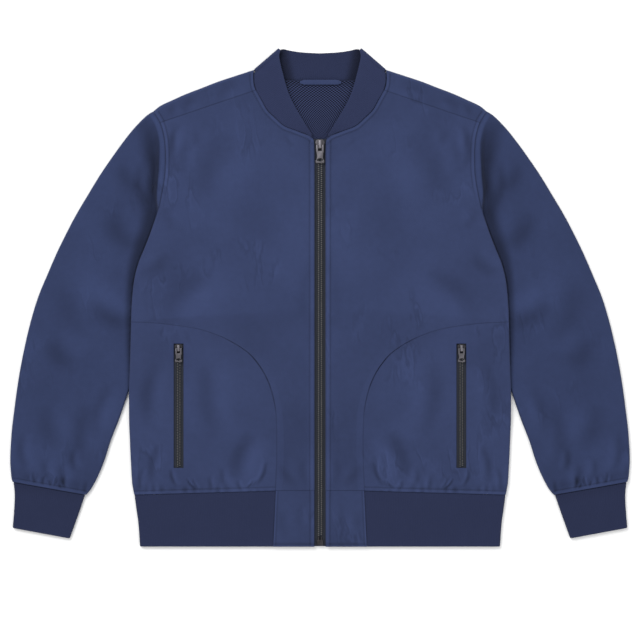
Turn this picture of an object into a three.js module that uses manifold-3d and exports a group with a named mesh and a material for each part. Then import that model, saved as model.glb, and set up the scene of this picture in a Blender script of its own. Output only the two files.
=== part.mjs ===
// A rib-trimmed zip jacket laid flat on its back, front side up, neck towards +Y. Millimetres, +Z up.
// The origin is on the floor under the middle of the outline. The wearer's left is at +X.
// Each panel is one wall of cloth: a grid of outer points and a grid of inner points, closed by a rim.
import * as THREE from "three";
import Module from "manifold-3d";

// Cloth and stack
const CLOTH = 2.0; // woven shell with its mesh lining
const RIB = 2.4; // doubled rib knit
const SEAM = 0.4; // space between two pieces at a seam
const BODY_AIR = 3.0; // between back and front where the body lies free
const BODY_AIR_PRESSED = 1.2; // the same where the body lies on the sleeve
const SLEEVE_HEIGHT = 7.0; // both layers of a sleeve
const SLEEVE_HEIGHT_PRESSED = 4.8; // the same under the side of the body
const LIFT = SLEEVE_HEIGHT_PRESSED + SEAM; // how far the sleeve lifts the side of the body
const LIFT_RUN = { from: 44, to: 8 }; // inside the sleeve's hidden edge, where the lift starts and is full
const LIFT_TOP = { from: 140, to: 262 }; // Y over which the lift dies out towards the shoulder
const LIFT_FOOT = { from: -205, to: -140 }; // Y over which it dies out below the overlap
const BODY_HEIGHT = 2 * CLOTH + BODY_AIR;

// Colours
const NAVY = 0x3a4468;
const RIB_NAVY = 0x2e3551;
const MESH_NAVY = 0x2b3149;
const TAPE_GREY = 0x2c2f39;
const GUNMETAL = 0x6a676b;

// Outline of the body: half width at each height, from the hem seam up the side and round the armhole.
const SIDE = [
  { y: -279, x: 264 }, { y: -262, x: 267 }, { y: -241, x: 268.3 }, { y: -205, x: 270 },
  { y: -170, x: 271 }, { y: -135, x: 271 }, { y: -105, x: 270 }, { y: -84, x: 269.3 },
  { y: -61, x: 268.7 }, { y: -34, x: 268 }, { y: -17, x: 267.5 }, { y: 11, x: 265.5 },
  { y: 31, x: 262.5 }, { y: 51, x: 257 }, { y: 68, x: 250 }, { y: 91, x: 241 },
  { y: 114, x: 233 }, { y: 125, x: 229 }, { y: 148, x: 224 }, { y: 165, x: 221 },
  { y: 182, x: 219.3 }, { y: 202, x: 219 }, { y: 221, x: 220 }, { y: 239, x: 223.5 },
  { y: 252, x: 228.5 }, { y: 261.5, x: 234.5 }, { y: 265, x: 237 },
];
const UNDERARM_Y = 125;
const SHOULDER_TIP_Y = 265;

// Neck seam behind, then the shoulder fold, from the middle out to the shoulder tip.
const NECK_POINT_X = 94.3;
const NECK_BACK = [
  { x: 0, y: 308.3 }, { x: 50, y: 308.5 }, { x: 71, y: 310.8 }, { x: 94.3, y: 320.2 },
];
const SHOULDER = [
  { x: 94.3, y: 324 }, { x: 122, y: 315 }, { x: 146, y: 307 }, { x: 169, y: 298 },
  { x: 190, y: 290 }, { x: 210, y: 281 }, { x: 227, y: 273 }, { x: 237, y: 265 },
];

// The back panel comes over the shoulder to a seam on the front: its neck end and armhole end, row by row.
const YOKE_ROWS = [
  { neckX: 94.5, neckY: 313, armX: 232.6, armY: 258.5 },
  { neckX: 94.0, neckY: 304, armX: 229.6, armY: 254 },
  { neckX: 91.4, neckY: 295.2, armX: 226.9, armY: 249 },
];

// Each front panel: from the zip edge and neck seam (in) to the pocket seam, side and armhole (out).
const FRONT_ROWS = [
  { inX: 8.5, inY: -273, outX: 63, outY: -273 },
  { inX: 8.5, inY: -241, outX: 61.5, outY: -236 },
  { inX: 8.5, inY: -208, outX: 61, outY: -199 },
  { inX: 8.5, inY: -176, outX: 62.2, outY: -163 },
  { inX: 8.5, inY: -148, outX: 69, outY: -129 },
  { inX: 8.5, inY: -124, outX: 80, outY: -104 },
  { inX: 8.5, inY: -102, outX: 96, outY: -82.5 },
  { inX: 8.5, inY: -82, outX: 118, outY: -66 },
  { inX: 8.5, inY: -64, outX: 143, outY: -53.5 },
  { inX: 8.5, inY: -48, outX: 172, outY: -44 },
  { inX: 8.5, inY: -35, outX: 205, outY: -38.7 },
  { inX: 8.5, inY: -24, outX: 238, outY: -35.2 },
  { inX: 8.5, inY: -14, outX: 262, outY: -34.2 },
  { inX: 8.5, inY: -7, outX: 268, outY: -34 },
  { inX: 8.5, inY: 10, outX: 267.5, outY: -17 },
  { inX: 8.5, inY: 38, outX: 265.5, outY: 11 },
  { inX: 8.5, inY: 62, outX: 262.5, outY: 31 },
  { inX: 8.5, inY: 88, outX: 257, outY: 51 },
  { inX: 8.5, inY: 112, outX: 250, outY: 68 },
  { inX: 8.5, inY: 142, outX: 241, outY: 91 },
  { inX: 8.5, inY: 172, outX: 233, outY: 114 },
  { inX: 8.5, inY: 199, outX: 229, outY: 125 },
  { inX: 9.3, inY: 224.5, outX: 224, outY: 148 },
  { inX: 32, inY: 236.4, outX: 221, outY: 165 },
  { inX: 50.2, inY: 243.4, outX: 219.3, outY: 182 },
  { inX: 64.3, inY: 255.5, outX: 219, outY: 202 },
  { inX: 75.4, inY: 266.6, outX: 220, outY: 221 },
  { inX: 83.4, inY: 280.6, outX: 223.5, outY: 239 },
  { inX: 91.2, inY: 294.7, outX: 226.6, outY: 248.5 },
];
const SIDE_ROWS = { from: -34, to: 114 }; // front rows whose outer end rolls down over the side

// Each pocket panel: the row's left end on the curved seam, and its level beyond the curve.
const POCKET_ROWS = [
  { seamX: 63.4, seamY: -273.4, level: -279 },
  { seamX: 62.9, seamY: -258, level: -262 },
  { seamX: 62.0, seamY: -238, level: -241 },
  { seamX: 61.4, seamY: -203, level: -205 },
  { seamX: 62.4, seamY: -168, level: -170 },
  { seamX: 68.1, seamY: -136.2, level: -135 },
  { seamX: 77.1, seamY: -112.2, level: -105 },
  { seamX: 88.8, seamY: -93.4, level: -84 },
  { seamX: 101.4, seamY: -79, level: -61 },
];
const POCKET_TOP = [
  { x: 118.4, y: -66.4 }, { x: 143, y: -53.9 }, { x: 172, y: -44.4 }, { x: 205, y: -39.1 },
  { x: 238, y: -35.6 }, { x: 262, y: -34.6 }, { x: 268, y: -34.4 },
];
const POCKET_LEVEL_X = 150; // from here out a pocket panel's rows run level
const SLOT = { x: 200.6, width: 13.5, top: -61, bottom: -241 };

// Rows along the hidden and visible inner edge of the sleeve (in) and its outer fold (out).
const SLEEVE_ROWS = [
  { inX: 243.4, inY: 90.5, outX: 262, outY: 243.5, bow: 9, inTop: 4.8 },
  { inX: 241.5, inY: 70, outX: 282, outY: 218.5, bow: 5, inTop: 4.8 },
  { inX: 237, inY: 48, outX: 307, outY: 183, bow: 2, inTop: 4.8 },
  { inX: 234.5, inY: 24, outX: 330, outY: 146, bow: 0, inTop: 4.8 },
  { inX: 236, inY: -2, outX: 351, outY: 110, bow: 0, inTop: 4.8 },
  { inX: 241.5, inY: -30, outX: 370, outY: 73, bow: 0, inTop: 4.8 },
  { inX: 249, inY: -59, outX: 386.5, outY: 36, bow: 0, inTop: 4.8 },
  { inX: 258, inY: -88, outX: 400, outY: 3, bow: 0, inTop: 4.8 },
  { inX: 267, inY: -117, outX: 411.5, outY: -35, bow: 0, inTop: 4.8 },
  { inX: 276, inY: -144, outX: 420, outY: -72, bow: 0, inTop: 5.0 },
  { inX: 286, inY: -173, outX: 427.5, outY: -110, bow: 0, inTop: 6.0 },
  { inX: 297, inY: -202, outX: 433.5, outY: -152, bow: 0, inTop: 6.8 },
  { inX: 307, inY: -233, outX: 438.5, outY: -195, bow: 0, inTop: 7.0 },
  { inX: 317.5, inY: -258, outX: 440, outY: -232, bow: 0, inTop: 7.0 },
  { inX: 326, inY: -272.5, outX: 438.8, outY: -252, bow: 0, inTop: 7.0 },
  { inX: 332.6, inY: -279.6, outX: 436.6, outY: -261, bow: 0, inTop: 6.6 },
];
// Beside the armhole a strip of the sleeve lies level with the body, then rolls down to the sleeve's height.
const ROLL_ROWS = [
  { reach: SEAM, endX: SEAM, endY: 0, tipX: SEAM, tipY: 0, fall: 0, lift: 1 },
  { reach: 9.5, endX: 2.9, endY: -3.8, tipX: 3.6, tipY: -1, fall: 0.07, lift: 0.55 },
  { reach: 12.3, endX: 5.2, endY: -8, tipX: 6.6, tipY: -3, fall: 0.55, lift: 0.2 },
  { reach: 15.3, endX: 7.4, endY: -13, tipX: 9.6, tipY: -5.2, fall: 1, lift: 0 },
];
const ROLL_ENDS = 0.25; // share of the armhole over which the strip narrows at either end
const CREASE_HEIGHT = { low: 5.0, from: 215, to: 262 }; // sleeve height along the foot of the roll
const PRESSED_SHARE = { from: 0.22, to: 0.55 }; // share of a sleeve row that stays pressed flat

// The strip of hidden sleeve that lifts the body: its inner edge.
const HIDDEN_EDGE = [
  { y: -205, x: 298 }, { y: -173, x: 285 }, { y: -144, x: 275 }, { y: -117, x: 266 },
  { y: -88, x: 257 }, { y: -59, x: 248 }, { y: -30, x: 240.5 }, { y: -2, x: 235 },
  { y: 24, x: 233 }, { y: 48, x: 230 }, { y: 90, x: 224 }, { y: 265, x: 224 },
];

const CUFF_ROWS = [
  { inX: 333.9, inY: -279.8, outX: 435.5, outY: -261.65, height: 6.6 },
  { inX: 339, inY: -295, outX: 433.8, outY: -280, height: 6.2 },
  { inX: 347.5, inY: -319, outX: 434.8, outY: -302, height: 6.2 },
  { inX: 355.6, inY: -341.5, outX: 436.8, outY: -326.5, height: 6.4 },
];

const HEM_ROWS = [
  { sideX: 263.6, sideY: -279.4, frontX: 63.5, frontY: -273.8, height: 7.0 },
  { sideX: 261.4, sideY: -297, frontX: 64.3, frontY: -293, height: 6.6 },
  { sideX: 258, sideY: -321, frontX: 65.6, frontY: -319, height: 6.4 },
  { sideX: 255.8, sideY: -353, frontX: 67.2, frontY: -353, height: 6.6 },
];
const HEM_TAB = { inX: 8.5, topX: 63, bottomX: 66.7, topY: -273.4, bottomY: -353, low: 5.0, high: 7.0 };

// The collar: each column runs from the neck seam to the free edge. Front flap first, then the back.
const COLLAR_FRONT = [
  { seamX: 11.6, seamY: 227.8, freeX: 12.6, freeY: 233.5 },
  { seamX: 22, seamY: 233.2, freeX: 16.2, freeY: 239.5 },
  { seamX: 36, seamY: 238.3, freeX: 23, freeY: 251 },
  { seamX: 50, seamY: 243.9, freeX: 30, freeY: 262.5 },
  { seamX: 64, seamY: 256, freeX: 37.5, freeY: 276 },
  { seamX: 75, seamY: 267.2, freeX: 44, freeY: 290 },
  { seamX: 83, seamY: 281, freeX: 48.5, freeY: 304 },
  { seamX: 90.6, seamY: 295, freeX: 52, freeY: 317 },
  { seamX: 93.6, seamY: 308, freeX: 55.5, freeY: 331 },
  { seamX: 93.7, seamY: 318, freeX: 57.6, freeY: 344 },
];
const COLLAR_BACK = [
  { seamX: 91, seamY: 319.6, freeX: 55.5, freeY: 351.2 },
  { seamX: 76, seamY: 313.5, freeX: 44, freeY: 349.7 },
  { seamX: 58, seamY: 310.2, freeX: 32, freeY: 348.3 },
  { seamX: 38, seamY: 309.2, freeX: 20, freeY: 347.2 },
  { seamX: 18, seamY: 308.9, freeX: 10, freeY: 346.7 },
  { seamX: 0, seamY: 308.9, freeX: 0, freeY: 346.5 },
];
const COLLAR_FOLD = { seamX: 93.9, seamY: 324.2, freeX: 59.6, freeY: 353 };
const COLLAR_HEIGHT = { seam: 7.0, free: 8.6 };

const LINING_ROWS = [
  { y: 222, x: 17 }, { y: 236, x: 24 }, { y: 258, x: 37 }, { y: 282, x: 50 }, { y: 307.6, x: 60 },
];
const LINING = { low: CLOTH + 0.3, thick: 1.0 };
const LOOP = { from: -28.5, to: 30, y: 306.4, width: 6.8, thick: 2.4, taper: 7 };

// Zips: chain, tape and slider sizes
const TAPE = { thick: 1.0, edge: 0.3, reach: 15 };
const CHAIN = { thick: 2.0, front: 8.0, pocket: 6.6 };
const FRONT_ZIP = { top: 226, bottom: -351, boxTop: -338.4, boxWidth: 8.8, boxHeight: 2.6 };
const MAIN_SLIDER = {
  top: 225, length: 14, width: 13.3, neck: 8.6, body: 3.4, bridgeWidth: 4.2, bridgeFrom: 1.4, bridgeTo: 12.8,
  pivot: 8.2, eyeLength: 8.3, eyeWidth: 5.4, tabLength: 25.8, tabHead: 11.4, tabWaist: 8.8, tabEnd: 12.2,
  holeWidth: 7.2, holeHeight: 3.6, holeFromEnd: 4.6,
};
const POCKET_SLIDER = {
  top: -65.6, length: 11, width: 11.2, neck: 7.2, body: 2.8, bridgeWidth: 3.4, bridgeFrom: 1.1, bridgeTo: 9.9,
  pivot: 6.2, eyeLength: 6.6, eyeWidth: 4.6, tabLength: 19.2, tabHead: 9.2, tabWaist: 7.2, tabEnd: 10.2,
  holeWidth: 5.6, holeHeight: 2.8, holeFromEnd: 3.6,
};
const BAR_RADIUS = 0.65; // cross bar of a pull tab, and half the tab's thickness
const CLEAR = 0.3; // running clearance round the bar
const BRIDGE_WALL = 1.2;
const LEG = 1.5; // length of each leg of the bridge

// Small maths
const clamp01 = (v) => Math.min(1, Math.max(0, v));
const mix = (a, b, t) => a + (b - a) * t;
function smooth(from, to, v) {
  const t = clamp01((v - from) / (to - from));
  return t * t * (3 - 2 * t);
}
// Value of a table's column at a place along its key, straight between rows.
function read(table, key, value, at) {
  let i = 1;
  while (i < table.length - 1 && at > table[i][key]) i++;
  const [a, b] = [table[i - 1], table[i]];
  return mix(a[value], b[value], clamp01((at - a[key]) / (b[key] - a[key])));
}
const ring = (steps) => Array.from({ length: steps + 1 }, (_, i) => i / steps);

// How high the sleeve below lifts the body at a place.
function liftAt(x, y) {
  const edge = read(HIDDEN_EDGE, "y", "x", y);
  const across = smooth(edge - LIFT_RUN.from, edge - LIFT_RUN.to, Math.abs(x));
  const top = 1 - smooth(LIFT_TOP.from, LIFT_TOP.to, y);
  const foot = smooth(LIFT_FOOT.from, LIFT_FOOT.to, y);
  return LIFT * across * top * foot;
}
// Height of the body, back and front together, at a place.
function bodyHeightAt(x, y) {
  return mix(BODY_HEIGHT, 2 * CLOTH + BODY_AIR_PRESSED, liftAt(x, y) / LIFT);
}

// Closes a grid of { out, in } points into one wall. Cells that skip() names are left open.
function wallGeometry(grid, { closed = false, skip = () => false } = {}) {
  const rows = grid.length;
  const cols = grid[0].length;
  const across = closed ? cols : cols - 1;
  const positions = [];
  grid.forEach((row) => row.forEach((p) => positions.push(...p.out, ...p.in)));
  const at = (r, c) => 2 * (r * cols + (c % cols));
  const present = (r, c) => {
    if (r < 0 || r >= rows - 1) return false;
    const col = closed ? (c + cols) % cols : c;
    return col >= 0 && col < across && !skip(r, col);
  };
  const index = [];
  for (let r = 0; r < rows - 1; r++) {
    for (let c = 0; c < across; c++) {
      if (!present(r, c)) continue;
      const [a, b, e, d] = [at(r, c), at(r, c + 1), at(r + 1, c + 1), at(r + 1, c)];
      index.push(a, b, e, a, e, d, a + 1, e + 1, b + 1, a + 1, d + 1, e + 1);
      const sides = [
        { p: a, q: b, open: !present(r - 1, c) },
        { p: b, q: e, open: !present(r, c + 1) },
        { p: e, q: d, open: !present(r + 1, c) },
        { p: d, q: a, open: !present(r, c - 1) },
      ];
      for (const { p, q, open } of sides) {
        if (open) index.push(q, p, p + 1, q, p + 1, q + 1);
      }
    }
  }
  return facingOut(positions, index);
}

// An indexed geometry, turned so that its faces point out.
function facingOut(positions, index) {
  const point = (i) => new THREE.Vector3().fromArray(positions, 3 * i);
  let volume = 0;
  for (let i = 0; i < index.length; i += 3) {
    const [a, b, c] = [point(index[i]), point(index[i + 1]), point(index[i + 2])];
    volume += a.dot(b.cross(c));
  }
  if (volume < 0) {
    for (let i = 0; i < index.length; i += 3) {
      [index[i + 1], index[i + 2]] = [index[i + 2], index[i + 1]];
    }
  }
  const geometry = new THREE.BufferGeometry();
  geometry.setAttribute("position", new THREE.Float32BufferAttribute(positions, 3));
  geometry.setIndex(index);
  return geometry;
}

// The same geometry on the other side of the body.
function mirrored(geometry) {
  const positions = Array.from(geometry.getAttribute("position").array);
  for (let i = 0; i < positions.length; i += 3) positions[i] = -positions[i];
  return facingOut(positions, Array.from(geometry.index.array));
}

const jacket = new THREE.Group();
const material = (color, roughness = 0.9, metalness = 0) =>
  new THREE.MeshStandardMaterial({ color, roughness, metalness });
function add(name, geometry, finish) {
  const mesh = new THREE.Mesh(geometry, finish);
  mesh.name = name;
  jacket.add(mesh);
  return mesh;
}
function addPair(name, geometry, finish) {
  add(name + "_left", geometry, finish());
  add(name + "_right", mirrored(geometry), finish());
}
const shellCloth = () => material(NAVY);
const ribKnit = () => material(RIB_NAVY);

// Columns near the outer end of a body row, by their distance from it.
const ROLL_ANGLES = [Math.PI / 2, Math.PI / 4, 0];
const NEAR_SIDE = [44, 32, 22, 12];
const LIFT_START = 58; // an extra column on the back, where the lift starts

// One point of a body panel. face is +1 on the front and -1 on the back.
function bodyPoint(x, y, face) {
  const low = liftAt(x, y);
  const high = low + bodyHeightAt(x, y);
  const out = face > 0 ? high : low;
  return { out: [x, y, out], in: [x, y, out - face * CLOTH] };
}
// The last points of a row, rolled down (front) or up (back) to the middle of the body's height.
function rolledEnd(x, y, dirX, dirY, rolled, face) {
  const height = bodyHeightAt(x, y);
  const radius = height / 2;
  const middle = liftAt(x, y) + radius;
  return ROLL_ANGLES.map((angle) => {
    const inset = radius * (1 - Math.cos(angle));
    const insetIn = mix(inset, radius - (radius - CLOTH) * Math.cos(angle), rolled);
    const rise = mix(radius, radius * Math.sin(angle), rolled);
    const riseIn = mix(radius - CLOTH, (radius - CLOTH) * Math.sin(angle), rolled);
    const gap = rolled * SEAM * 0.5 * (1 - Math.sin(angle));
    return {
      out: [x - dirX * inset, y - dirY * inset, middle + face * (rise + gap)],
      in: [x - dirX * insetIn, y - dirY * insetIn, middle + face * (riseIn + gap)],
    };
  });
}

// Front panels
function frontGeometry() {
  const grid = FRONT_ROWS.map((row) => {
    const [dx, dy] = [row.outX - row.inX, row.outY - row.inY];
    const length = Math.hypot(dx, dy);
    const [dirX, dirY] = [dx / length, dy / length];
    const scale = Math.min(1, length / 140);
    const onSide = row.outY >= SIDE_ROWS.from && row.outY <= SIDE_ROWS.to && row.outX > 230;
    const reach = length - NEAR_SIDE[0] * scale;
    const points = ring(5).map((t) => reach * t);
    NEAR_SIDE.slice(1).forEach((inset) => points.push(length - inset * scale));
    return [
      ...points.map((s) => bodyPoint(row.inX + dirX * s, row.inY + dirY * s, 1)),
      ...rolledEnd(row.outX, row.outY, dirX, dirY, onSide ? 1 : 0, 1),
    ];
  });
  return wallGeometry(grid);
}

// Pocket panels, open along the zip slot
function pocketGeometry() {
  const slotLeft = SLOT.x - SLOT.width / 2;
  const slotRight = SLOT.x + SLOT.width / 2;
  const top = { seamX: POCKET_TOP[0].x, seamY: POCKET_TOP[0].y, level: POCKET_TOP.at(-1).y };
  const rows = [...POCKET_ROWS, top];
  const grid = rows.map((row) => {
    const side = read(SIDE, "y", "x", row.level);
    const across = ring(5).map((t) => mix(row.seamX, slotLeft, t));
    const columns = [...across, slotRight, 217, ...NEAR_SIDE.map((inset) => side - inset)];
    const heightAt = (x) => {
      if (row === top) return read(POCKET_TOP, "x", "y", x);
      if (row === rows[0]) return mix(row.seamY, row.level, (x - row.seamX) / (side - row.seamX));
      return mix(row.seamY, row.level, smooth(row.seamX, POCKET_LEVEL_X, x));
    };
    return [
      ...columns.map((x) => bodyPoint(x, heightAt(x), 1)),
      ...rolledEnd(side, row.level, 1, 0, 1, 1),
    ];
  });
  const levels = rows.map((row) => row.level);
  const slotColumn = 5;
  return wallGeometry(grid, {
    skip: (r, c) => c === slotColumn && levels[r] >= SLOT.bottom && levels[r + 1] <= SLOT.top,
  });
}

// Back panel, which comes over both shoulders to the front
function backGeometry() {
  const radius = BODY_HEIGHT / 2;
  const lastFlat = SHOULDER_TIP_Y - radius;
  const shoulderX = read(SIDE, "y", "x", lastFlat);
  const neckShare = NECK_POINT_X / shoulderX;
  const neckSteps = ring(4);
  const halfColumns = (half) => {
    const neck = half * neckShare;
    return [
      ...neckSteps.map((t) => neck * t),
      ...ring(3).slice(1).map((t) => mix(neck, half - LIFT_START, t)),
      ...NEAR_SIDE.map((inset) => half - inset),
    ];
  };
  const topAt = (x) =>
    x <= NECK_POINT_X ? read(NECK_BACK, "x", "y", x) : read(SHOULDER, "x", "y", x) - radius;
  const tops = halfColumns(shoulderX).map(topAt);
  const half = (points) => [
    ...points.slice(1).reverse().map((p) => ({
      out: [-p.out[0], p.out[1], p.out[2]],
      in: [-p.in[0], p.in[1], p.in[2]],
    })),
    ...points,
  ];
  const grid = SIDE.filter(({ y }) => y <= lastFlat).map(({ x: side, y }) => {
    const arch = Math.pow(Math.max(0, (y - UNDERARM_Y) / (lastFlat - UNDERARM_Y)), 1.6);
    const points = halfColumns(side).map((x, i) => bodyPoint(x, y + arch * (tops[i] - lastFlat), -1));
    return half([...points, ...rolledEnd(side, y, 1, 0, y <= SIDE_ROWS.to ? 1 : 0, -1)]);
  });
  // Over the shoulder fold: angles from below to above, on the columns outside the neck.
  const fullRow = (build) => {
    const shares = halfColumns(shoulderX).map((x) => (x - NECK_POINT_X) / (shoulderX - NECK_POINT_X));
    const ends = ROLL_ANGLES.map((a) => 1 - (radius * (1 - Math.cos(a))) / (shoulderX - NECK_POINT_X));
    return half([...shares, ...ends].map(build));
  };
  for (const angle of [-Math.PI / 4, 0, Math.PI / 4, Math.PI / 2]) {
    grid.push(fullRow((share) => {
      const middleY = read(SHOULDER, "x", "y", mix(NECK_POINT_X, SHOULDER.at(-1).x, share)) - radius;
      const onFold = (r) => {
        const endX = read(SIDE, "y", "x", lastFlat + r * Math.cos(angle));
        return [mix(NECK_POINT_X, endX, share), middleY + r * Math.cos(angle), radius + r * Math.sin(angle)];
      };
      return { out: onFold(radius), in: onFold(radius - CLOTH) };
    }));
  }
  for (const row of YOKE_ROWS) {
    grid.push(fullRow((share) => {
      const x = mix(row.neckX, row.armX, share);
      const y = mix(row.neckY, row.armY, share);
      const shoulder = read(SHOULDER, "x", "y", x);
      const bowed = mix(shoulder, y, (SHOULDER[0].y - row.neckY) / (SHOULDER[0].y - YOKE_ROWS.at(-1).neckY));
      return bodyPoint(x, row === YOKE_ROWS.at(-1) ? y : Math.min(bowed, shoulder - radius - 0.5), 1);
    }));
  }
  const flatRows = SIDE.filter(({ y }) => y <= lastFlat).length;
  const middle = (grid[0].length - 1) / 2;
  const neckCells = neckSteps.length - 1;
  return wallGeometry(grid, {
    skip: (r, c) => r >= flatRows - 1 && c >= middle - neckCells && c < middle + neckCells,
  });
}

// A flattened tube: each row lists plan points from the inner edge to the outer, each with low and high.
function tubeGeometry(rows, wall) {
  const grid = rows.map((plan) => {
    const points = [];
    const first = plan[0];
    const last = plan.at(-1);
    for (const p of plan) {
      points.push({ out: [p.x, p.y, p.high], in: [p.x, p.y, p.high - wall] });
    }
    points.push(...foldPoints(last, wall, 1));
    for (const p of [...plan].reverse()) {
      points.push({ out: [p.x, p.y, p.low], in: [p.x, p.y, p.low + wall] });
    }
    points.push(...foldPoints(first, wall, -1));
    return points;
  });
  return wallGeometry(grid, { closed: true });
}
// The points of a fold, from above to below (turn 1) or from below to above (turn -1).
function foldPoints(end, wall, turn) {
  const radius = (end.high - end.low) / 2;
  const middle = (end.high + end.low) / 2;
  return [Math.PI / 4, 0, -Math.PI / 4].map((angle) => {
    const [c, s] = [Math.cos(angle), turn * Math.sin(angle)];
    const inner = radius - wall;
    return {
      out: [end.x + end.foldX * radius * c, end.y + end.foldY * radius * c, middle + radius * s],
      in: [end.x + end.foldX * inner * c, end.y + end.foldY * inner * c, middle + inner * s],
    };
  });
}
// Plan points of a straight tube row, its ends brought in by the fold's radius.
function straightRow({ inX, inY, outX, outY, bow = 0 }, steps, heightAt) {
  const length = Math.hypot(outX - inX, outY - inY);
  const [dirX, dirY] = [(outX - inX) / length, (outY - inY) / length];
  const from = heightAt(0) / 2;
  const to = length - heightAt(1) / 2;
  return ring(steps).map((t) => {
    const s = mix(from, to, t);
    const side = bow * Math.sin(Math.PI * t);
    return {
      x: inX + dirX * s - dirY * side,
      y: inY + dirY * s + dirX * side,
      low: 0,
      high: heightAt(t),
      foldX: t < 0.5 ? -dirX : dirX,
      foldY: t < 0.5 ? -dirY : dirY,
    };
  });
}

// Sleeves
function sleeveGeometry() {
  const steps = 7;
  const underarm = UNDERARM_Y + 0.6;
  const firstRadius = bodyHeightAt(read(SIDE, "y", "x", UNDERARM_Y), UNDERARM_Y) / 2;
  const tipRadius = BODY_HEIGHT / 2;
  const rollRows = ROLL_ROWS.map((row) =>
    ring(steps).map((t) => {
      const y = mix(underarm + firstRadius, SHOULDER_TIP_Y - tipRadius, t);
      const x = read(SIDE, "y", "x", y);
      const atEnd = 1 - smooth(0, ROLL_ENDS, t);
      const atTip = smooth(1 - ROLL_ENDS, 1, t);
      const between = 1 - atEnd - atTip;
      const lift = liftAt(x - 1, y);
      const level = lift + bodyHeightAt(x - 1, y);
      const crease = mix(CREASE_HEIGHT.low, SLEEVE_HEIGHT, smooth(CREASE_HEIGHT.from, CREASE_HEIGHT.to, y));
      return {
        x: x + atEnd * row.endX + atTip * row.tipX + between * row.reach,
        y: y + atEnd * row.endY + atTip * row.tipY,
        low: lift * row.lift,
        high: mix(level, crease, row.fall),
        foldX: t < 0.5 ? 0.22 : 0.55,
        foldY: t < 0.5 ? -1 : 0.83,
      };
    }),
  );
  Object.assign(rollRows[0].at(-1), { foldX: 0.71, foldY: 1 }); // follows the armhole round the tip
  const straightRows = SLEEVE_ROWS.map((row) =>
    straightRow(row, steps, (t) =>
      mix(row.inTop, SLEEVE_HEIGHT, smooth(PRESSED_SHARE.from, PRESSED_SHARE.to, t))),
  );
  return tubeGeometry([...rollRows, ...straightRows], CLOTH);
}

// Cuffs
function cuffGeometry() {
  return tubeGeometry(CUFF_ROWS.map((row) => straightRow(row, 7, () => row.height)), RIB);
}

// Hem rib: from one front tab round the side, across the back and round to the other tab
function hemGeometry() {
  const grid = HEM_ROWS.map((row) => {
    const radius = row.height / 2;
    const foldX = row.sideX - radius;
    const front = ring(6).map((t) => {
      const [x, y] = [mix(row.frontX, foldX, t), mix(row.frontY, row.sideY, t)];
      return { out: [x, y, row.height], in: [x, y, row.height - RIB] };
    });
    const end = { x: foldX, y: row.sideY, low: 0, high: row.height, foldX: 1, foldY: 0 };
    const back = ring(7).map((t) => {
      const x = mix(foldX, 0, t);
      return { out: [x, row.sideY, 0], in: [x, row.sideY, RIB] };
    });
    const right = [...front, ...foldPoints(end, RIB, 1), ...back];
    const left = right.slice(0, -1).reverse().map((p) => ({
      out: [-p.out[0], p.out[1], p.out[2]],
      in: [-p.in[0], p.in[1], p.in[2]],
    }));
    return [...right, ...left];
  });
  return wallGeometry(grid);
}

// Cloth tabs at the foot of the zip
function hemTabGeometry() {
  const grid = ring(4).map((v) => {
    const y = mix(HEM_TAB.topY, HEM_TAB.bottomY, v);
    const outer = mix(HEM_TAB.topX, HEM_TAB.bottomX, v);
    return ring(4).map((u) => {
      const x = mix(HEM_TAB.inX, outer, u);
      return { out: [x, y, HEM_TAB.high], in: [x, y, HEM_TAB.low] };
    });
  });
  return wallGeometry(grid);
}

// Collar: one band, its front flaps on top and its back below, folded beside the neck
function collarGeometry() {
  const shares = [0, 0.25, 0.5, 0.75, 1];
  const grid = shares.map((share) => {
    const height = mix(COLLAR_HEIGHT.seam, COLLAR_HEIGHT.free, share);
    const place = ({ seamX, seamY, freeX, freeY }) => [mix(seamX, freeX, share), mix(seamY, freeY, share)];
    const flap = COLLAR_FRONT.map((column) => {
      const [x, y] = place(column);
      return { out: [x, y, height], in: [x, y, height - RIB] };
    });
    const [foldX, foldY] = place(COLLAR_FOLD);
    const run = Math.hypot(COLLAR_FOLD.freeY - COLLAR_FOLD.seamY, COLLAR_FOLD.seamX - COLLAR_FOLD.freeX);
    const outX = (COLLAR_FOLD.freeY - COLLAR_FOLD.seamY) / run;
    const outY = (COLLAR_FOLD.seamX - COLLAR_FOLD.freeX) / run;
    const radius = height / 2;
    const end = {
      x: foldX - outX * radius, y: foldY - outY * radius, low: 0, high: height, foldX: outX, foldY: outY,
    };
    const back = COLLAR_BACK.map((column) => {
      const [x, y] = place(column);
      return { out: [x, y, 0], in: [x, y, RIB] };
    });
    const right = [...flap, ...foldPoints(end, RIB, 1), ...back];
    const left = right.slice(0, -1).reverse().map((p) => ({
      out: [-p.out[0], p.out[1], p.out[2]],
      in: [-p.in[0], p.in[1], p.in[2]],
    }));
    return [...right, ...left];
  });
  return wallGeometry(grid);
}

// Mesh lining, built only where the neck opening shows it
function liningGeometry() {
  const grid = LINING_ROWS.map(({ y, x }) =>
    ring(6).map((t) => {
      const at = mix(-x, x, t);
      return { out: [at, y, LINING.low + LINING.thick], in: [at, y, LINING.low] };
    }),
  );
  return wallGeometry(grid);
}

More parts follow.
